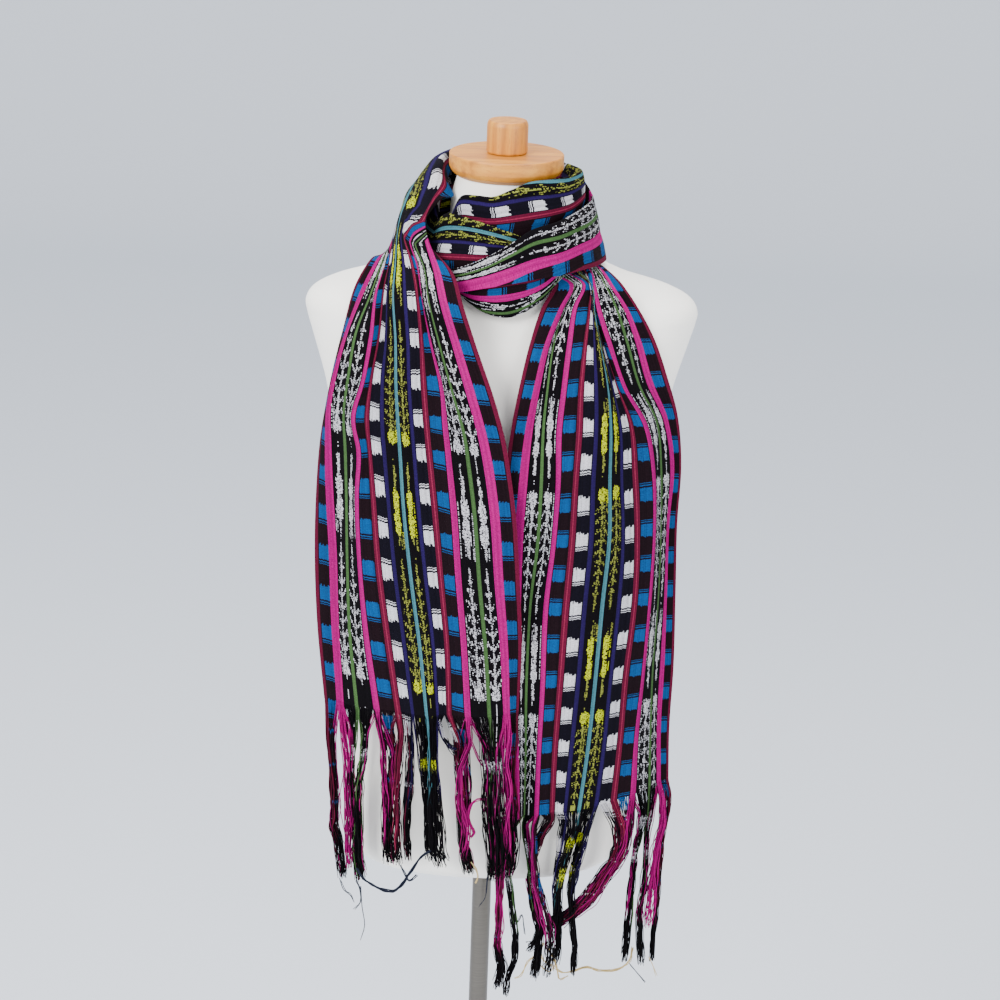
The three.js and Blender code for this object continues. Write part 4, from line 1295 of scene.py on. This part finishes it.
# ---- fringes ----
# Bundles of loose warp yarns. "warp" is the span of the cloth's width that they come from, and "guests" are
# yarns from elsewhere in it: how many, and from which span. "tied" is how far below the hem the squares were
# tied, where that isn't the whole fringe's own length. "forward" is how far the bundle hangs in front of the
# hem, "half" its half width at the middle and at the tip, "dark" the height below which its yarns are dyed
# black, "swell" how loosely they lie, and "path" its middle below the hem as (x, height).
LEFT_FRINGE = named_rows("warp yarns guests tied forward half dark swell path", [
    ((-110, -95), 40, [(12, -110, -106), (6, -95, -90)], 30, 0, (6, 4.5), 838, 2,
     [(-156, 918), (-153, 887), (-151, 855), (-151, 832), (-145, 813), (-141, 785)]),
    ((-95, -86), 26, (), None, 4, (4, 4), 790, 3,
     [(-142, 934), (-138, 903), (-138, 872), (-136, 840), (-136, 812), (-134, 799)]),
    ((-86, -71), 32, [(12, -95, -88)], None, 1, (4, 4), 806, 2.5,
     [(-132, 942), (-133, 914), (-134, 888), (-132, 856), (-127, 825), (-124, 786)]),
    ((-71, -56), 36, [(8, -73, -71), (5, -55, -50)], None, -2, (5.5, 5), 878, 2,
     [(-121, 938), (-122, 908), (-125, 890), (-126, 866), (-125, 834), (-125, 809), (-121, 787)]),
    ((-56, -48), 28, (), None, 3, (4, 5), 838, 3.5,
     [(-107, 951), (-102, 928), (-100, 897), (-98, 873), (-97, 842), (-96, 808)]),
    ((-48, -37), 26, [(8, -36, -31), (8, -55, -49)], 46, -3, (5.5, 6.5), 862, 2,
     [(-97, 944), (-92, 921), (-93, 889), (-94, 858), (-93, 826), (-90, 806)]),
    ((-37, -29), 24, (), None, 4, (4, 5), 834, 3,
     [(-84, 944), (-86, 913), (-87, 881), (-85, 850), (-85, 822), (-83, 808)]),
    ((-29, -17), 30, [(5, -36, -31)], None, -2, (4, 4.5), 876, 1.5,
     [(-77, 952), (-75, 926), (-75, 898), (-77, 866), (-77, 834), (-74, 812)]),
    ((-17, 0), 50, (), None, 0, (8, 7.5), 890, 1.5,
     [(-62, 945), (-59, 914), (-56, 883), (-54, 851), (-52, 828), (-49, 817)]),
    ((0, 17), 50, (), None, 2, (7, 8.5), 890, 1.5,
     [(-52, 945), (-51, 914), (-49, 883), (-46, 851), (-44, 828), (-40, 813)]),
    ((17, 27), 18, (), None, 6, (4.5, 3), 0, 0.8, [(-47, 967), (-43, 951), (-36, 941), (-30, 934)]),
    ((27, 49), 50, [(14, 31, 36), (10, 49, 55)], 60, -2, (7.5, 8), 858, 2,
     [(-25, 946), (-23, 915), (-20, 884), (-21, 860), (-20, 837), (-13, 806)]),
    ((49, 56), 14, (), None, 4, (5, 5.5), 838, 4,
     [(-16, 947), (-24, 918), (-24, 884), (-16, 853), (-18, 825), (-14, 812)]),
    ((56, 88), 72, [(14, 49, 55), (14, 88, 95)], None, 0, (9.5, 13), 884, 2,
     [(5, 948), (8, 917), (8, 885), (11, 854), (13, 822), (13, 804)]),
    ((88, 96), 16, (), None, 5, (5, 7.5), 842, 5,
     [(21, 956), (19, 925), (24, 894), (20, 862), (22, 835), (24, 815)]),
    ((96, 110), 26, [(10, 106, 110), (10, 88, 95)], None, -2, (5, 6), 868, 2,
     [(27, 944), (24, 909), (27, 878), (29, 846), (29, 823), (28, 804)]),
])
RIGHT_FRINGE = named_rows("warp yarns guests tied forward half dark swell path", [
    ((-110, -87), 36, [(14, -110, -106), (14, -95, -88)], 30, 2, (5, 5), 716, 2.5,
     [(20, 838), (18, 803), (18, 773), (19, 739), (18, 719), (23, 694), (20, 676)]),
    ((-87, -72), 26, (), None, -3, (3.5, 3.5), 742, 1.5,
     [(27, 840), (25, 798), (31, 762), (36, 728), (36, 700), (30, 680), (28, 664)]),
    ((-72, -56), 26, [(10, -55, -49)], None, 0, (4, 5), 752, 2,
     [(41, 849), (46, 817), (52, 783), (57, 758), (62, 738), (56, 722), (50, 716)]),
    ((-56, -47), 26, (), None, 4, (4, 5), 734, 4,
     [(50, 849), (51, 816), (55, 788), (63, 760), (69, 738), (70, 712), (69, 690)]),
    ((-47, -29), 36, [(12, -36, -31)], 22, -2, (5, 5.5), 738, 3,
     [(66, 853), (58, 836), (52, 818), (49, 791), (53, 757), (60, 736), (60, 708), (57, 684)]),
    ((-29, -9), 40, (), None, -1, (6, 5), 758, 1.5,
     [(82, 850), (80, 822), (77, 792), (77, 767), (79, 742), (80, 720), (79, 702)]),
    ((-9, 5), 30, (), None, 4, (4.5, 3.5), 770, 1.5,
     [(92, 848), (86, 824), (81, 800), (77, 776), (75, 754), (72, 740)]),
    ((5, 19), 38, (), None, 0, (6, 4.5), 775, 1.5,
     [(103, 852), (98, 826), (93, 801), (90, 779), (92, 750), (96, 717), (96, 690)]),
    ((19, 49), 46, [(26, 31, 36), (26, 49, 55)], 30, 8, (10, 9), 752, 3,
     [(137, 847), (138, 828), (132, 811), (121, 794), (107, 773), (92, 756), (76, 745)]),
    ((49, 56), 26, (), None, 14, (4, 5), 0, 4,
     [(147, 847), (144, 828), (136, 808), (124, 790), (111, 768), (94, 752), (78, 746)]),
    ((56, 72), 26, [(9, 49, 55)], None, -1, (4.5, 3.5), 742, 2,
     [(161, 850), (158, 832), (154, 812), (153, 790), (151, 761), (150, 736), (149, 700)]),
    ((72, 87), 26, [(9, 88, 95)], None, 1, (4.5, 3.5), 740, 2,
     [(168, 850), (166, 829), (166, 795), (165, 770), (162, 745), (164, 719), (167, 698)]),
    ((87, 96), 30, (), None, 5, (4.5, 5), 0, 4,
     [(179, 862), (181, 840), (176, 812), (173, 779), (172, 757), (171, 741)]),
    ((96, 110), 26, [(8, 106, 110), (6, 88, 95)], 60, -1, (4, 3.5), 752, 1.5,
     [(185, 866), (185, 846), (181, 821), (180, 787), (180, 754), (178, 722), (178, 700)]),
])
# Single yarns that have come loose: the middle of their path, how far forward, and their colour.
INK = srgb(30, 34, 48)
TAN = srgb(196, 172, 120)
LEFT_STRAYS = named_rows("yarns forward dye radius path", [
    (5, 2, INK, 0.7,
     [(-124, 800), (-118, 790), (-108, 783), (-97, 778), (-87, 777), (-79, 785), (-70, 800), (-60, 816),
      (-52, 822)]),
    (2, 2, INK, 0.5, [(-125, 788), (-120, 778), (-119, 764), (-126, 755)]),
    (1, 1, INK, 0.5, [(-121, 782), (-117, 760), (-115, 738), (-119, 722)]),
    (2, 2, INK, 0.5, [(-140, 788), (-136, 776), (-129, 771), (-127, 764)]),
    (2, 1, INK, 0.45, [(5, 808), (6, 790), (4, 774), (-1, 764)]),
    (4, 3, INK, 0.6, [(-82, 806), (-76, 796), (-71, 790), (-64, 796)]),
    (9, 7, PINK, 0.5, [(4, 880), (-8, 879), (-14, 871), (-15, 858), (-9, 843), (-12, 839)]),
    (3, 6, PINK, 0.5, [(-15, 940), (-6, 922), (4, 905), (10, 884), (8, 860)]),
    (3, 6, PINK, 0.5, [(24, 950), (16, 926), (9, 904), (3, 884), (0, 866)]),
    (3, 6, TAN, 0.45, [(-10, 812), (-6, 806), (-4, 796), (-6, 790)]),
])
RIGHT_STRAYS = named_rows("yarns forward dye radius path", [
    (3, 4, TAN, 0.5, [(66, 712), (58, 700), (50, 690), (44, 676), (38, 671)]),
    (3, 4, TAN, 0.5, [(62, 705), (66, 694), (75, 688), (86, 681), (98, 683)]),
    (3, 4, TAN, 0.45, [(72, 706), (78, 692), (82, 682), (84, 672), (92, 676)]),
    (2, 4, TAN, 0.45, [(56, 700), (62, 688), (72, 680), (80, 690)]),
    (6, 6, TAN, 0.5, [(98, 683), (112, 688), (123, 684), (143, 686), (155, 697), (157, 712)]),
    (2, 3, TAN, 0.45, [(175, 702), (178, 692), (183, 679)]),
    (2, 3, INK, 0.5, [(155, 692), (164, 682), (173, 672)]),
    (3, 8, PINK, 0.5, [(52, 842), (44, 800), (48, 770), (56, 752), (64, 742)]),
    (2, 4, INK, 0.5, [(32, 728), (38, 736), (42, 744), (46, 722)]),
])
# The figure in the fringe, where the ends were tied: distances below the hem, and places in the figure.
LEFT_TIES = ((0, 44, 46, 56, 58, 200), (68, 80, 86, 91, 213, 217))
RIGHT_TIES = ((0, 28, 30, 41, 43, 66, 68, 80, 82, 200), (68, 80, 86, 91, 213, 217, 318, 323, 445, 449))
# Below the hem the squares were tied only so far; the yarns beyond keep their ground colour.
LEFT_SQUARED = 46
RIGHT_SQUARED = 84
YARN_RADIUS = 0.0005  # metres, as the node group wants it
YARN_SIDES = 3
YARN_SEED = 7
YARN_STEPS = 3
STRAY_RADIUS = 0.5  # the "radius" of a stray that is as thick as the other yarns
STRAY_THREAD = 100.0  # where across the cloth the strays' hem is taken
FRINGE_PLANE = 122  # how far in front of the pole, in mm, the heights of the bundles were taken
WAVE = 1.6
DARK_SPREAD = 13  # how far up or down, in mm, a yarn's black end may start from its bundle's
DARK_FADE = 9
LOOSE_SHARE = 0.22


def yarn_tubes_group():
    """Turns every line of a mesh into a round yarn; each yarn has its own thickness."""
    tree = bpy.data.node_groups.new("yarn tubes", "GeometryNodeTree")
    face = tree.interface
    face.new_socket("Lines", in_out="INPUT", socket_type="NodeSocketGeometry")
    face.new_socket("Yarn Radius", in_out="INPUT", socket_type="NodeSocketFloat").default_value = YARN_RADIUS
    face.new_socket("Sides", in_out="INPUT", socket_type="NodeSocketInt").default_value = YARN_SIDES
    face.new_socket("Seed", in_out="INPUT", socket_type="NodeSocketInt").default_value = YARN_SEED
    face.new_socket("Material", in_out="INPUT", socket_type="NodeSocketMaterial")
    face.new_socket("Yarns", in_out="OUTPUT", socket_type="NodeSocketGeometry")
    g = Graph(tree)
    entry, leave = g.node("NodeGroupInput"), g.node("NodeGroupOutput")
    curves = g.node("GeometryNodeMeshToCurve", {"Mesh": entry.outputs["Lines"]})
    count = g.node("GeometryNodeSplineParameter")
    scatter = g.node("FunctionNodeRandomValue", {"Seed": entry.outputs["Seed"]}, data_type="FLOAT")
    g.put(scatter.inputs[2], 0.85)
    g.put(scatter.inputs[3], 1.2)
    thin = g.node("GeometryNodeInputNamedAttribute", {"Name": "thin"}, data_type="FLOAT")
    taper = g.math("SUBTRACT", 1.0, g.math("MULTIPLY", g.math("POWER", count.outputs["Factor"], 8.0), 0.35))
    spline = g.node("GeometryNodeInputNamedAttribute", {"Name": "yarn"}, data_type="INT")
    g.put(scatter.inputs["ID"], spline.outputs[0])
    radius = g.math("MULTIPLY", entry.outputs["Yarn Radius"], scatter.outputs[1])
    radius = g.math("MULTIPLY", g.math("MULTIPLY", radius, taper), thin.outputs[0])
    ring = g.node("GeometryNodeCurvePrimitiveCircle", {"Resolution": entry.outputs["Sides"], "Radius": 1.0})
    tubes = g.node("GeometryNodeCurveToMesh", {"Curve": curves.outputs[0], "Profile Curve": ring.outputs[0]})
    tubes.inputs["Fill Caps"].default_value = True
    if "Scale" in tubes.inputs:
        g.put(tubes.inputs["Scale"], radius)
    else:
        sized = g.node("GeometryNodeSetCurveRadius", {"Curve": curves.outputs[0], "Radius": radius})
        g.put(tubes.inputs["Curve"], sized.outputs[0])
    real = g.node("GeometryNodeRealizeInstances", {"Geometry": tubes.outputs[0]})
    soft = g.node("GeometryNodeSetShadeSmooth", {0: real.outputs[0]})
    finish = entry.outputs["Material"]
    dressed = g.node("GeometryNodeSetMaterial", {"Geometry": soft.outputs[0], "Material": finish})
    g.put(leave.inputs["Yarns"], dressed.outputs[0])
    return tree


YARN_TUBES = yarn_tubes_group()


def add_fringe(name, hem, bundles, strays, ties, squared, way, knotted, node):
    """way is +1 where the pattern's length grows down the fringe and -1 where it shrinks; in a knotted fringe
    the guests' ends are black too."""
    rng = random.Random(len(bundles) * 31 + 5)
    points, edges, rows = [], [], []

    def add_yarn(path, flat, start, thin, dye, black_from, tied):
        first = len(points)
        path = smooth(path, YARN_STEPS)
        fallen = np.concatenate([[0], np.cumsum(np.linalg.norm(np.diff(path, axis=0), axis=1))])
        number = len(edges) + 1
        limit = tied + rng.uniform(-6, 6)
        for k, p in enumerate(path):
            points.append(tuple(p * MM))
            fade = float(np.clip((black_from - p[2]) / DARK_FADE + 0.5, 0, 1)) if black_from else 0.0
            figure = np.interp(fallen[k], ties[0], ties[1])
            along = start + way * fallen[k]
            if fallen[k] > limit:
                along = math.floor(along / CHECK_REPEAT) * CHECK_REPEAT
            rows.append((flat, along, figure, fade, thin, number, dye))
            if k:
                edges.append((first + k - 1, first + k))

    for bundle in bundles:
        low, high = bundle["warp"]
        root_mid = hem((low + high) / 2)[0]
        # a bundle that hangs further back shows higher, so its heights are let down by as much
        drop = max(0.0, (root_mid[1] + FRINGE_PLANE) * math.tan(CAMERA_PITCH))
        stations = []
        for k, (x, z) in enumerate(bundle["path"]):
            stations.append(np.array([x, 0, z - drop * (k + 1) / len(bundle["path"])]))
        reach = root_mid[1] - bundle["forward"]
        half_mid, half_tip = bundle["half"]
        twist = rng.uniform(-1.8, 1.8)
        lump = rng.uniform(0, 2 * math.pi)
        sources = [low + (high - low) * (n + rng.random()) / bundle["yarns"] for n in range(bundle["yarns"])]
        for count, first, last in bundle["guests"]:
            sources += [rng.uniform(first, last) for _ in range(count)]
        for n, flat in enumerate(sources):
            root, start = hem(flat)
            side = float(np.clip((flat - (low + high) / 2) / ((high - low) / 2), -1, 1))
            if n >= bundle["yarns"]:
                side = rng.uniform(-1, 1)
            side = 0.7 * side + rng.uniform(-0.4, 0.4)
            deep = rng.uniform(-1, 1) * math.sqrt(max(0.05, 1 - side * side))
            loose = rng.random() < LOOSE_SHARE
            slack = 1.1 if loose else 0.45
            sway = [rng.uniform(-1, 1) * bundle["swell"] * slack for _ in range(len(stations) * 2)]
            path = [root + np.array([0, 0, 0.6])]
            for k, spot in enumerate(stations):
                t = (k + 1) / len(stations)
                half = half_mid + (half_tip - half_mid) * t
                half = half * (0.86 + 0.22 * math.sin(lump + 5.2 * t))
                turn = twist * t
                across = side * math.cos(turn) - deep * math.sin(turn)
                depth = deep * math.cos(turn) + side * math.sin(turn)
                near = min(1, 0.45 + t * 1.4)
                x = spot[0] + across * half * near
                x = x + (1 - near) * (root[0] - root_mid[0]) + sway[2 * k] * min(1, t * 1.6)
                y = reach + depth * half * 0.8 + sway[2 * k + 1] * t
                end = rng.uniform(-5, 7) if k == len(stations) - 1 else rng.uniform(-2, 2)
                path.append(np.array([x, y, spot[2] + end]))
            fine = [path[0]]
            for k in range(1, len(path)):
                middle = (path[k - 1] + path[k]) / 2
                kink = WAVE * min(1, k / 3)
                fine.append(middle + np.array([rng.uniform(-kink, kink), rng.uniform(-kink, kink), 0]))
                fine.append(path[k])
            dark = bundle["dark"] - drop + rng.uniform(-DARK_SPREAD, DARK_SPREAD) if bundle["dark"] else 0
            if n >= bundle["yarns"] and not knotted and n % 3 == 0:
                dark = 0
            add_yarn(fine, flat, start, 1.0, None, dark, bundle["tied"] or squared)
    for stray in strays:
        for _ in range(stray["yarns"]):
            root, start = hem(STRAY_THREAD)
            front = root[1] - stray["forward"]
            drop = (front + FRINGE_PLANE) * math.tan(CAMERA_PITCH)
            path = []
            for x, z in stray["path"]:
                spot = np.array([x, front, z - drop])
                path.append(spot + [rng.uniform(-1.3, 1.3) for _ in range(3)])
            add_yarn(path, STRAY_THREAD, start, stray["radius"] / STRAY_RADIUS, stray["dye"], 0, squared)

    lines = bpy.data.meshes.new(name + "_lines")
    lines.from_pydata(points, edges, [])
    weave = lines.attributes.new("weave", "FLOAT_VECTOR", "POINT")
    weave.data.foreach_set("vector", np.array([r[:3] for r in rows], np.float32).reshape(-1))
    for label, k in (("fade", 3), ("thin", 4)):
        made = lines.attributes.new(label, "FLOAT", "POINT")
        made.data.foreach_set("value", np.array([r[k] for r in rows], np.float32))
    made = lines.attributes.new("yarn", "INT", "POINT")
    made.data.foreach_set("value", np.array([r[5] for r in rows], np.int32))
    made = lines.attributes.new("dye", "FLOAT_COLOR", "POINT")
    dyes = np.array([r[6] if r[6] else (0, 0, 0, 0) for r in rows], np.float32)
    made.data.foreach_set("color", dyes.reshape(-1))
    holder = bpy.data.objects.new(name + "_lines", lines)
    scene.collection.objects.link(holder)
    tubes = holder.modifiers.new("yarn tubes", "NODES")
    tubes.node_group = YARN_TUBES
    inputs = [item for item in YARN_TUBES.interface.items_tree if item.in_out == "INPUT"]
    sockets = {item.name: item.identifier for item in inputs}
    tubes[sockets["Yarn Radius"]] = YARN_RADIUS
    tubes[sockets["Sides"]] = YARN_SIDES
    tubes[sockets["Seed"]] = YARN_SEED
    tubes[sockets["Material"]] = FRINGE_YARN
    ready = holder.evaluated_get(bpy.context.evaluated_depsgraph_get())
    mesh = bpy.data.meshes.new_from_object(ready)
    mesh.name = name
    bpy.data.objects.remove(holder)
    piece = bpy.data.objects.new(name, mesh)
    scene.collection.objects.link(piece)
    settle(piece, "fringe_yarn", node)
    return piece


left_fringe = add_fringe(
    "left_fringe_look",
    left_hem,
    LEFT_FRINGE,
    LEFT_STRAYS,
    LEFT_TIES,
    LEFT_SQUARED,
    -1,
    False,
    "fringe_left",
)
right_fringe = add_fringe(
    "right_fringe_look",
    right_hem,
    RIGHT_FRINGE,
    RIGHT_STRAYS,
    RIGHT_TIES,
    RIGHT_SQUARED,
    1,
    True,
    "fringe_right",
)


# ---- stage and light ----
def add_stage():
    floor_material, g, shader = new_material("stage_paper")
    g.put(shader.inputs["Base Color"], srgb(224, 229, 238))
    shader.inputs["Roughness"].default_value = 0.9
    profile = [(-9.0, 0.0), (5.6, 0.0)]
    for k in range(1, 13):
        a = k / 12 * math.pi / 2
        profile.append((5.6 + 1.2 * math.sin(a), 1.2 - 1.2 * math.cos(a)))
    profile.append((6.8, 9.0))
    points, faces = [], []
    for y, z in profile:
        points += [(-9000, y * 1000, z * 1000), (9000, y * 1000, z * 1000)]
    for k in range(len(profile) - 1):
        faces.append((2 * k, 2 * k + 1, 2 * k + 3, 2 * k + 2))
    paper = make_mesh("stage_paper", points, faces, floor_material, 60)


def add_light(name, where, size, power, aim=(0, 0, 1.15)):
    data = bpy.data.lights.new(name, "AREA")
    data.shape = "RECTANGLE"
    data.size, data.size_y = size
    data.energy = power
    lamp = bpy.data.objects.new(name, data)
    scene.collection.objects.link(lamp)
    lamp.location = where
    lamp.rotation_mode = "QUATERNION"
    lamp.rotation_quaternion = (Vector(aim) - Vector(where)).to_track_quat("-Z", "Y")


add_stage()
add_light("key", (-2.4, -2.8, 3.2), (2.0, 2.0), 275)
add_light("fill", (2.6, -2.8, 2.2), (2.4, 2.4), 120)
add_light("top", (0, 0.4, 3.8), (2.4, 2.4), 100)
world = bpy.data.worlds.new("room")
world.use_nodes = True
world.node_tree.nodes["Background"].inputs[0].default_value = (0.9, 0.93, 0.96, 1)
world.node_tree.nodes["Background"].inputs[1].default_value = 1.1
scene.world = world
